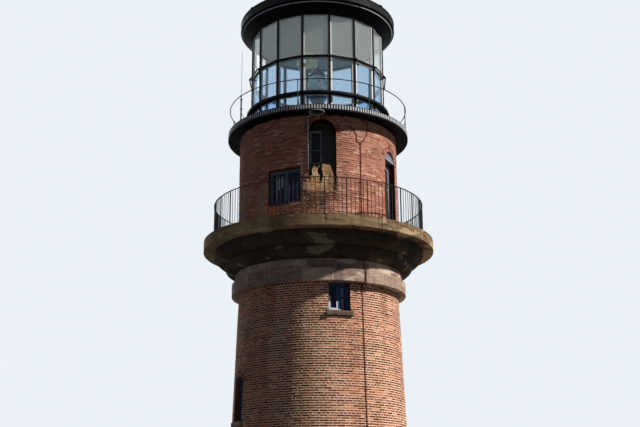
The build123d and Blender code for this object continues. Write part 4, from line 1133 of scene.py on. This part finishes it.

# Pale sash and blinds of the front stair window, and blinds of the front watch window with painted highlights of the
# sunlit balusters before it
# Each strip is (left, foot, right, top)
for name, look, near, far, bearing, chamfer, strips in (
        ("stairWindowSash", "whitePaint", 1.9312, 1.91, 14.1, 0.002, (
            (-0.24, 5.56, -0.19, 5.9), (-0.189, 5.56, -0.01, 5.612), (-0.009, 5.56, 0.13, 5.585),
            (-0.045, 5.613, -0.01, 5.77))),
        ("stairWindowBlinds", "bluePaint", 1.9045, 1.8875, 14.1, 0.002,
         ((0.07, 5.62, 0.14, 5.85), (0.07, 5.89, 0.14, 6.11))),
        ("watchWindowBlinds", "blindPaint", 1.9025, 1.8975, -24.0, 0.001, (
            (-0.292, 8.33, -0.262, 9.03), (-0.235, 8.66, -0.195, 8.98), (-0.15, 8.68, -0.105, 8.99),
            # narrow pale strips: painted highlights of the sunlit balusters seen against the pane
            (0.07, 8.34, 0.078, 8.74), (0.16, 8.34, 0.168, 8.76), (0.25, 8.34, 0.258, 8.77)))):
    shape = Shape()
    for left, foot, right, top in strips:
        shape.box((left, -near, foot), (right, -far, top), bearing, chamfer)
    shape.dress(name, look, "window_paint")
print("windows made")


worn = {"wear": 0.004, "skin": 9.0, "edge": 21.0}


def wornBlock(low, high, step, chip, seed):
    # stone block with a pitted skin and knocked edges, never outside its own box
    counts = [max(2, round((high[a] - low[a]) / step)) for a in range(3)]
    drift = Vector((seed * 3.7, seed * 1.9, seed * 2.3))
    verts, faces, index = [], [], {}

    def corner(*place):
        if place not in index:
            ends = [place[a] in (0, counts[a]) for a in range(3)]
            point = Vector(low[a] + (high[a] - low[a]) * place[a] / counts[a] for a in range(3))
            pull = worn["wear"] * (0.5 + 0.5 * noise.noise(point * worn["skin"] + drift))
            if sum(ends) > 1:
                pull += chip * (0.2 + max(0.0, noise.noise(point * worn["edge"] + drift)))
            for a in range(3):
                if ends[a]:
                    point[a] += -pull if place[a] else pull
            index[place] = len(verts)
            verts.append(tuple(point))
        return index[place]

    for a in range(3):
        b, c = (a + 1) % 3, (a + 2) % 3
        for level in (0, counts[a]):
            for i in range(counts[b]):
                for j in range(counts[c]):
                    ring = []
                    for di, dj in ((0, 0), (1, 0), (1, 1), (0, 1)):
                        place = [0, 0, 0]
                        place[a], place[b], place[c] = level, i + di, j + dj
                        ring.append(corner(*place))
                    faces.append(ring)
    return verts, faces


def stonePiece(name, blocks, bearings, look, hides=(), step=0.04, chip=0.014):
    # worn blocks, each with its own tone
    shape = Shape()
    pick = random.Random(len(blocks) + len(name))
    for bearing in bearings:
        for number, (low, high) in enumerate(blocks):
            shape.add(*wornBlock(low, high, step, chip, number + bearing / 50), bearing, tone=pick.random())
    shape.dress(name, look, "brownstone", hides=hides)


stonePiece("stairTopSills", [((-0.34, -2.1348, 5.4), (0.34, -1.9022, 5.52))], (14.1, 194.1), "sillStone",
           ["shaft_window_sills"], chip=0.02)
stonePiece("stairArchSills", [((-0.34, -2.2228, 2.91), (0.34, -1.991, 3.03))], (-66.0, 126.0), "sillStone",
           ["shaft_window_sills"], chip=0.02)

# Entrance, seen from the back: jamb stones, lintel, threshold and a boarded door
entrance = {"half": 0.48, "outer": 0.67, "front": 2.38, "back": 1.8794, "head": 2.25, "top": 2.53, "stones": 7,
            "sill": 0.15, "joint": 0.004, "bearing": 180.0}
half, outer, near, far, head = (entrance[key] for key in ("half", "outer", "front", "back", "head"))
stoneHigh = head / entrance["stones"]
stones = [((x0, -near, s * stoneHigh), (x1, -far, (s + 1) * stoneHigh - entrance["joint"]))
          for x0, x1 in ((-outer, -half), (half, outer)) for s in range(entrance["stones"])]
stones.append(((-outer, -near, head), (outer, -far, entrance["top"])))
stones.append(((-half + 0.001, -near, 0.0), (half - 0.001, -far, entrance["sill"])))
stonePiece("entranceStones", stones, (entrance["bearing"],), "sillStone", ["entrance_surround"], step=0.06)


def boardedLeaf(half, bottom, top, front, back, boards, bearing, ledges):
    # boards with open joints on ledges, hung on strap hinges
    leaf, irons = Shape(), Shape()
    wide = 2 * half / boards
    for s in range(boards):
        leaf.box((-half + s * wide + 0.0015, -front, bottom), (-half + (s + 1) * wide - 0.0015, -front + 0.028, top),
                 bearing, 0.004)
    for z in ledges:
        leaf.box((-half + 0.01, -front + 0.028, z - 0.06), (half - 0.01, -back, z + 0.06), bearing, 0.004)
        irons.box((-half + 0.015, -front - 0.006, z - 0.02), (half * 0.55, -front + 0.001, z + 0.02), bearing, 0.002)
        knuckle = (-half + 0.012, -front - 0.008)
        irons.tube([(*knuckle, z - 0.045), (*knuckle, z + 0.045)], 0.009, 10, bearing)
        for share in (0.2, 0.5, 0.8):
            nail = (-half + 1.5 * half * share, -front - 0.006, z)
            irons.lathe([(0, 0), (0.011, 0), (0.009, 0.005), (0, 0.006)], 8, nail, "y", bearing)
    x, z = half - 0.075, (bottom + top) / 2
    irons.box((x - 0.03, -front - 0.004, z - 0.09), (x + 0.03, -front + 0.001, z + 0.09), bearing, 0.002)
    ring = [(x + 0.028 * math.sin(a), -front - 0.016, z - 0.03 + 0.028 * math.cos(a)) for a in circle(20)]
    irons.tube(ring, 0.005, 8, bearing, close=True)
    return leaf, irons


leaf, irons = boardedLeaf(0.4793, 0.152, 2.248, 2.2, 2.145, 7, entrance["bearing"], (0.5, 1.2, 1.95))
leaf.dress("entranceBoards", "doorPaint", "door_paint", hides=["entrance_door"])
irons.dress("entranceIrons", "blackIron", "black_iron")

# Gallery door: boards in deep shade, a ribbed arched panel over them, a pole at the jamb
door = {"bearing": 64.0, "half": 0.3194, "bottom": 7.651, "head": 9.549, "front": 1.9404, "back": 1.8854, "boards": 5,
        "ledges": (7.95, 8.6, 9.25), "crown": 9.889, "rise": 0.169, "ribs": 9, "panelFoot": 9.66, "panelFront": 2.056}
bearing, half, back, front = door["bearing"], door["half"], door["back"], door["panelFront"]
leaf, irons = boardedLeaf(half, door["bottom"], door["head"], door["front"], back, door["boards"], bearing,
                          door["ledges"])
leaf.box((-half, -door["front"], door["head"] + 0.001), (half, -back, door["panelFoot"] - 0.001), bearing, 0.004)
leaf.dress("galleryDoorBoards", "doorPaint", "door_paint", hides=["gallery_door"])
irons.dress("galleryDoorIrons", "blackIron", "black_iron")
lunette = {"half": half, "bottom": door["panelFoot"], "top": door["crown"], "rise": door["rise"]}
panel = Shape()
frameRound(panel, lunette, [(0, back), (0, front), (0.03, front), (0.036, front - 0.006), (0.036, back)], bearing)
plateIn(panel, lunette, 0.034, back + 0.01, front - 0.02, bearing)
radius = archRadius(half, door["rise"])
for s in range(door["ribs"]):
    x = -half + 0.05 + (2 * half - 0.1) * s / (door["ribs"] - 1)
    crown = door["crown"] - radius + math.sqrt(radius ** 2 - x ** 2) - 0.04
    panel.box((x - 0.009, -front + 0.008, door["panelFoot"] + 0.035), (x + 0.009, -front + 0.0205, crown), bearing)
panel.dress("galleryDoorPanel", "doorPanelPaint", "grey_paint", hides=["gallery_door_panel"])
pole = Shape()
pole.tube([(-0.352, -2.066, 9.33), (-0.345, -2.1, 9.33), (-0.328, -2.125, 9.3), (-0.312, -2.13, 9.23),
           (-0.306, -2.13, 9.1), (-0.306, -2.13, 7.652)], 0.0135, 10, bearing)
for z in (7.95, 8.75):
    pole.box((-0.335, -2.134, z), (-0.3, -2.06, z + 0.025), bearing)
pole.dress("galleryDoorPole", "lampEnamel", "lamp_enamel", smooth=True)
print("doors made")

# Recess: near-black boards line it as painted shade, broken slabs stand in its foot
recess = {"bearing": 3.1, "half": 0.345, "bottom": 8.5, "spring": 10.04, "rise": 0.335, "back": 1.8364, "front": 2.054,
          "lining": 0.004}
bearing, half, bottom, back = recess["bearing"], recess["half"], recess["bottom"], recess["back"]
hole = {"half": half - 0.0005, "bottom": bottom + 0.001, "top": recess["spring"] + recess["rise"] - 0.0005,
        "rise": recess["rise"]}
lining = Shape()
frameRound(lining, hole, [(0, back), (0, recess["front"]), (recess["lining"], recess["front"]),
                          (recess["lining"], back)], bearing)
# back boards with a hole for the window
left, right = -0.305, 0.005
for x0, x1, z0, z1 in ((-0.34, left, 8.51, 10.0), (right, 0.34, 8.51, 10.03), (left, right, 8.51, 9.27),
                       (left, right, 10.15, 10.28), (0.02, 0.2, 10.031, 10.27)):
    lining.box((x0, -back - 0.006, z0), (x1, -back, z1), bearing, 0.001)
lining.dress("recessLining", "sootBoard", "brick")

# Broken slabs; their outlines are shares of the recess's width and height
slab = {"front": 2.05, "setback": 0.012, "back": 1.8425, "voxel": 0.0085, "wear": 0.0035, "waves": 0.011,
        "pits": 0.012}
slabLines = (((0.0, 0.0), (1.0, 0.0), (1.0, 0.123), (0.0, 0.149)),
             ((0.02, 0.153), (0.44, 0.148), (0.4, 0.27), (0.33, 0.31), (0.345, 0.4), (0.27, 0.395), (0.2, 0.437),
              (0.11, 0.36), (0.13, 0.27), (0.04, 0.25)),
             ((0.45, 0.144), (0.975, 0.129), (0.93, 0.25), (0.86, 0.33), (0.775, 0.45), (0.5, 0.458), (0.47, 0.4),
              (0.52, 0.25)))


def brokenSlab(outline, seed):
    # slab voxel-meshed from its outline, then worn back by noise
    line = [(-half + 0.001 + (2 * half - 0.002) * across, bottom + 0.001 + (recess["spring"] - bottom) * up)
            for across, up in outline]
    verts = [(x, -d, z) for d in (slab["front"] - slab["setback"] * (seed % 2), slab["back"]) for x, z in line]
    rough = faceOutwards(meshObject("slabRough", verts, loftFaces(2, len(line))))
    remesh = rough.modifiers.new("remesh", "REMESH")
    remesh.mode, remesh.voxel_size = "VOXEL", slab["voxel"]
    mesh = bpy.data.meshes.new_from_object(rough.evaluated_get(bpy.context.evaluated_depsgraph_get()))
    bpy.data.objects.remove(rough)
    drift = Vector((seed * 5.1, seed * 2.7, seed * 4.3))
    moved = []
    for vertex in mesh.vertices:
        waves = max(0.0, noise.fractal(vertex.co * 9.0 + drift, 0.8, 2.0, 4))
        pits = max(0.0, noise.noise(vertex.co * 24.0 + drift) - 0.25)
        moved.append(vertex.co - vertex.normal * (slab["wear"] + slab["waves"] * waves + slab["pits"] * pits))
    faces = [tuple(p.vertices) for p in mesh.polygons]
    bpy.data.meshes.remove(mesh)
    return moved, faces


slabs = Shape()
for number, outline in enumerate(slabLines):
    slabs.add(*brokenSlab(outline, number), bearing)
slabs.dress("brokenSlabs", "slabStone", "brownstone", hides=["niche_slabs"])
stonePiece("recessPatch", [((-0.085, -2.112, 8.5), (0.083, -2.06, 8.62)),
                           ((-0.06, -2.108, 8.622), (0.083, -2.06, 8.72)),
                           ((0.0, -2.11, 8.722), (0.083, -2.06, 8.8))], (bearing - 11.8,), "slabStone", step=0.02)

# Rubble smeared on the wall below the slabs; levels and across are (least, most, likeliest)
smear = {"count": 130, "levels": (8.0, 8.49, 8.4), "across": (-0.5, 0.36, -0.2), "seed": 31}
pick = random.Random(smear["seed"])
rubble = []
for s in range(smear["count"]):
    z = pick.triangular(*smear["levels"])
    across = bearing + math.degrees(pick.triangular(*smear["across"]) / tower["watchRadius"])
    roll = pick.gauss(0, 0.12)
    size = (pick.uniform(0.04, 0.16), pick.uniform(0.01, 0.018), pick.uniform(0.02, 0.042))
    rubble.append(onWall(tower["watchRadius"] + 0.002, across, z, size, pick.random(), 0, roll))
scatterPiece("recessRubble", rubble, brickBlocks(6, 12), "rubbleStone", 0.03, 9)
reel = Shape()
reel.lathe([(0, 0), (0.012, 0), (0.03, 0.004), (0.032, 0.014), (0.022, 0.022), (0.022, 0.032), (0.032, 0.04),
            (0.03, 0.05), (0.01, 0.056), (0, 0.056)], 20, (-0.075, -1.8423, 9.2), "y", bearing)
reel.dress("recessReel", "lampEnamel", "lamp_enamel", smooth=True)
print("recess made")

# Lightning conductor: a strap on clips, forked on the watch room, with a second strap up a mullion
conductor = {"bearing": 30.5, "width": 0.026, "thick": 0.005, "off": 0.012, "upperBearing": 32.5, "upperShift": -0.008,
             "upperOff": 0.003, "clipEvery": 0.62, "shaftClips": (0.6, 6.1), "watchClips": (7.8, 9.8), "forkAt": 9.82,
             # arms as (across, up) from the fork: the fork, its spur and the run to the upper strap
             "arms": (((0.0, 0.0), (0.1, 0.1), (0.195, 0.27), (0.225, 0.42), (0.235, 0.61)),
                      ((0.0, 0.0), (-0.11, 0.045), (-0.105, 0.225), (-0.165, 0.29), (-0.225, 0.365), (-0.26, 0.42)),
                      ((0.235, 0.6), (0.07, 0.612)))}


def offsetLine(points, distance, least=0.35):
    # moves a line sideways, mitred at its corners
    normals = []
    for (x0, z0), (x1, z1) in zip(points, points[1:]):
        length = math.hypot(x1 - x0, z1 - z0)
        normals.append(((z1 - z0) / length, -(x1 - x0) / length))
    moved = []
    for i, (x, z) in enumerate(points):
        a, b = normals[max(0, i - 1)], normals[min(i, len(normals) - 1)]
        share = distance / max(least, 1 + a[0] * b[0] + a[1] * b[1])
        moved.append((x + (a[0] + b[0]) * share, z + (a[1] + b[1]) * share))
    return moved


def strapUp(shape, outline, bearing, shift, off):
    half = conductor["width"] / 2
    near, far = offsetLine(outline, off), offsetLine(outline, off + conductor["thick"])
    verts = [(shift + side, -r, z) for a, b in zip(near, far)
             for side, (r, z) in ((-half, a), (half, a), (half, b), (-half, b))]
    shape.add(verts, loftFaces(len(outline), 4), bearing)


def ribbonOnWall(shape, line):
    # flat arm laid round the watch room
    half, radius = conductor["width"] / 2, tower["watchRadius"]
    near, far = radius + conductor["off"], radius + conductor["off"] + conductor["thick"]
    verts = [onTower(out, conductor["bearing"] + math.degrees(math.asin(x / radius)), conductor["forkAt"] + z)
             for a, b in zip(offsetLine(line, half, 0.5), offsetLine(line, -half, 0.5))
             for (x, z), out in ((a, near), (b, near), (b, far), (a, far))]
    shape.add(verts, loftFaces(len(line), 4))


lower, upper = courses["lowerMoulding"]["profile"], courses["upperMoulding"]["profile"]
towerLine = [(2.352, 0.03), (2.352, 0.345), (2.268, 0.405), (2.055, 6.22), (2.25, 6.22), (2.25, 6.53), (2.16, 6.53),
             *mouldingLine(*lower[:2], 6), lower[2], *mouldingLine(*upper[:2], 6)[1:], upper[2], (2.983, 7.37),
             (2.983, 7.65), (tower["watchRadius"], 7.65), (tower["watchRadius"], conductor["forkAt"])]
upperLine = [(2.095, 10.42), (2.095, 10.478), (2.4213, 10.478), (2.4213, 10.65), (2.4, 10.65), (2.4, 10.574),
             (1.83, 10.574), (1.83, 11.16), (1.945, 11.16), (1.945, 11.24), (1.83, 11.24), (1.83, 12.21),
             (1.91, 12.21), (1.91, 12.27), (1.83, 12.27), (1.83, 13.455), (2.125, 13.705), (2.125, 13.72)]
strap, upperStrap = Shape(), Shape()
strapUp(strap, towerLine, conductor["bearing"], 0.0, conductor["off"])
for arm in conductor["arms"]:
    ribbonOnWall(strap, arm)
strapUp(upperStrap, upperLine, conductor["upperBearing"], conductor["upperShift"], conductor["upperOff"])
upperStrap.dress("conductorUpperStrap", "darkStrap", "rusted_iron", hides=["lightning_conductor"])
strap.dress("conductorStrap", "rustedIron", "rusted_iron", hides=["lightning_conductor"])
clip, clips = Shape(), []
clip.box((-0.03, -0.02, -0.014), (0.03, 0.0, 0.014))
for (foot, top), radiusAt in ((conductor["shaftClips"], shaftRadiusAt), (conductor["watchClips"], watchRadiusAt)):
    count = math.ceil((top - foot) / conductor["clipEvery"])
    for z in (foot + (top - foot) * s / count for s in range(count + 1)):
        clips.append(onWall(radiusAt(z), conductor["bearing"], z))
scatterPiece("conductorClips", clips, [clip.block("clip")], "rustedIron")

# Dish lamp: pipe up the wall, bent arm, spun dish with a hollow lined dark as painted shade, and a holder
lamp = {"pipeBearing": -6.6, "pipeDistance": 2.1093, "bottom": 9.0, "armHeight": 10.44, "pipe": 0.014,
        "dishBearing": -0.5, "dishDistance": 2.475, "clips": (9.0, 9.72, 10.38)}
foot = onTower(lamp["pipeDistance"], lamp["pipeBearing"], lamp["bottom"])
start = onTower(lamp["pipeDistance"], lamp["pipeBearing"], lamp["armHeight"])
end = onTower(lamp["dishDistance"], lamp["dishBearing"], lamp["armHeight"])
along, down = (end - start).normalized(), Vector((0, 0, -1))
dish, fittings = Shape(), Shape()
dish.tube([foot, start + down * 0.06, start + down * 0.03 + along * 0.008, start + down * 0.008 + along * 0.03,
           start + along * 0.06, end], lamp["pipe"], 12)
dish.lathe([(0, 0.012), (0.05, 0.013), (0.062, 0.006), (0.12, -0.006), (0.165, -0.02), (0.186, -0.03), (0.195, -0.032),
            (0.195, -0.042), (0.19, -0.044), (0.18, -0.038), (0.12, -0.016), (0.06, -0.006), (0, -0.004)], 48, end)
dish.dress("lampDish", "lampEnamel", "lamp_enamel", hides=["wall_lamp"], smooth=True)
for z in lamp["clips"]:
    fittings.box((-0.03, -2.128, z), (0.03, -2.0953, z + 0.03), lamp["pipeBearing"], 0.004)
# dark grey lining of the dish's hollow: painted shade under the dish
fittings.lathe([(0, -0.0045), (0.06, -0.0065), (0.12, -0.0165), (0.168, -0.0345), (0.168, -0.0375), (0.12, -0.0195),
                (0.06, -0.0095), (0, -0.0075)], 40, end)
fittings.lathe([(0, -0.004), (0.045, -0.006), (0.05, -0.012), (0.05, -0.03), (0.042, -0.037), (0, -0.0375)], 24, end)
fittings.dress("lampFittings", "lampHollow", "lamp_enamel")

# Antenna clamps: plates with two bolts each, beside the CAD rod
clamp = {"bearing": -57.0, "levels": (10.98, 11.24), "front": 2.3785, "back": 2.3437, "bolts": (-0.046, 0.004)}
clamps = Shape()
for z in clamp["levels"]:
    clamps.box((-0.052, -clamp["front"], z - 0.004), (0.012, -clamp["back"], z + 0.034), clamp["bearing"], 0.004)
    for x in clamp["bolts"]:
        place = (x, -clamp["front"], z + 0.015)
        clamps.lathe([(0, 0), (0.007, 0), (0.007, 0.006), (0, 0.007)], 6, place, "y", clamp["bearing"])
clamps.dress("antennaClamps", "antennaFinish", "antenna_finish")
stoneRing("base", "beltStone", inner=2.2)
print("fittings made")

# Roof: laps and rivets on the CAD sheets
roof = {"corners": ((2.13, 13.9623), (1.5033, 14.3727), (0.8767, 14.6852), (0.25, 14.9)), "every": 0.11,
        "beside": 0.042, "lap": 0.09, "lapHeights": (0.0005, 0.008)}
roofRivets = []
laps = Shape()
for number, ((r0, z0), (r1, z1)) in enumerate(zip(roof["corners"], roof["corners"][1:])):
    slope = math.atan2(z1 - z0, (r0 - r1) * facing)
    count = int(math.hypot(r0 - r1, z1 - z0) / roof["every"])
    for s in range(1, count):
        r, z = r0 + (r1 - r0) * s / count, z0 + (z1 - z0) * s / count
        if roof["beside"] > r * math.sin(math.pi / lantern["sides"]) - 0.02:
            continue
        for bearing in postTurns:
            for side in (-1, 1):
                along = bearing + side * bay / 2
                place = Vector(turned((roof["beside"] * side, 0, 0), along)) + onTower(r, bearing, z)
                roofRivets.append(spot(place, along, 0.9, 0.5, slope - math.pi / 2))
    if number < len(roof["corners"]) - 2:
        # the next sheet laps over the top of this one
        rLow, zLow = r1 + roof["lap"] * math.cos(slope), z1 - roof["lap"] * math.sin(slope)
        under, over = roof["lapHeights"]
        section = [(rLow, zLow + under), (rLow, zLow + over), (r1, z1 + over), (r1, z1 + under)]
        laps.add([onTower(r, bearing, z) for bearing in postTurns for r, z in section],
                 loftFaces(lantern["sides"], 4, True))
scatterPiece("roofRivets", roofRivets, [rivet.block("rivet")], "blackIron")
laps.dress("roofLaps", "blackIron", "black_iron")
print("roof dressed")

# Studio; suns are (bearing, height above the horizon, strength, softness, colour)
studio = {
    "camera": (0.045, -25.46, 1.0), "pitch": 16.46, "roll": 0.29, "lens": 56.25,
    "suns": {"key": (74, 38.7, 5.1, 2, (1.0, 0.96, 0.9)), "backLamp": (200, 30, 1.5, 30, (0.94, 0.97, 1.0))},
    "fill": 0.058, "fillColour": (0.66, 0.84, 1.08), "seen": (0.83, 0.88, 0.93),
    "floor": (0.6, 0.6, 0.59), "floorLight": (0.066, 0.067, 0.074), "floorSize": 160,
}
lens = bpy.data.cameras.new("camera")
lens.lens, lens.sensor_width, lens.clip_end = studio["lens"], 36, 500
camera = bpy.data.objects.new("camera", lens)
tilt = Matrix.Rotation(math.radians(90 + studio["pitch"]), 4,
                       "X") @ Matrix.Rotation(math.radians(-studio["roll"]), 4, "Z")
camera.matrix_world = Matrix.Translation(studio["camera"]) @ tilt
scene.collection.objects.link(camera)
scene.camera = camera

for name, (bearing, elevation, strength, softness, colour) in studio["suns"].items():
    light = bpy.data.lights.new(name, "SUN")
    light.energy, light.angle, light.color = strength, math.radians(softness), colour
    sun = bpy.data.objects.new(name, light)
    towards = onTower(math.cos(math.radians(elevation)), bearing, math.sin(math.radians(elevation)))
    sun.rotation_euler = towards.to_track_quat("Z", "Y").to_euler()
    scene.collection.objects.link(sun)

scene.world = bpy.data.worlds.new("studio")
scene.world.use_nodes = True
sky = scene.world.node_tree
sky.nodes.clear()
ray = node(sky, "ShaderNodeLightPath").outputs
straight = maths(sky, "MAXIMUM", ray["Is Glossy Ray"], ray["Is Transmission Ray"])
seen = maths(sky, "MAXIMUM", ray["Is Camera Ray"], straight)
lighting = node(sky, "ShaderNodeBackground", {"Color": (*studio["fillColour"], 1), "Strength": studio["fill"]})
backdrop = node(sky, "ShaderNodeBackground", {"Color": (*studio["seen"], 1), "Strength": 1.0})
both = node(sky, "ShaderNodeMixShader", {0: seen, 1: lighting.outputs[0], 2: backdrop.outputs[0]})
node(sky, "ShaderNodeOutputWorld", {"Surface": both.outputs[0]})

far = studio["floorSize"] / 2
floor = meshObject("studioFloor", [(-far, -far, 0), (far, -far, 0), (far, far, 0), (-far, far, 0)], [(0, 1, 2, 3)])
floorFinish, floorTree, floorShader = newMaterial("studioFloor", Roughness=0.9)
ray = node(floorTree, "ShaderNodeLightPath").outputs["Is Camera Ray"]
floorTree.links.new(mixed(floorTree, ray, studio["floorLight"], studio["floor"]), floorShader.inputs["Base Color"])
floor.data.materials.append(floorFinish)
floor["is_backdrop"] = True

scene.view_settings.view_transform = "Standard"
low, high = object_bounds()
print("size kept:", [round(v, 3) for v in (*low, *high)])
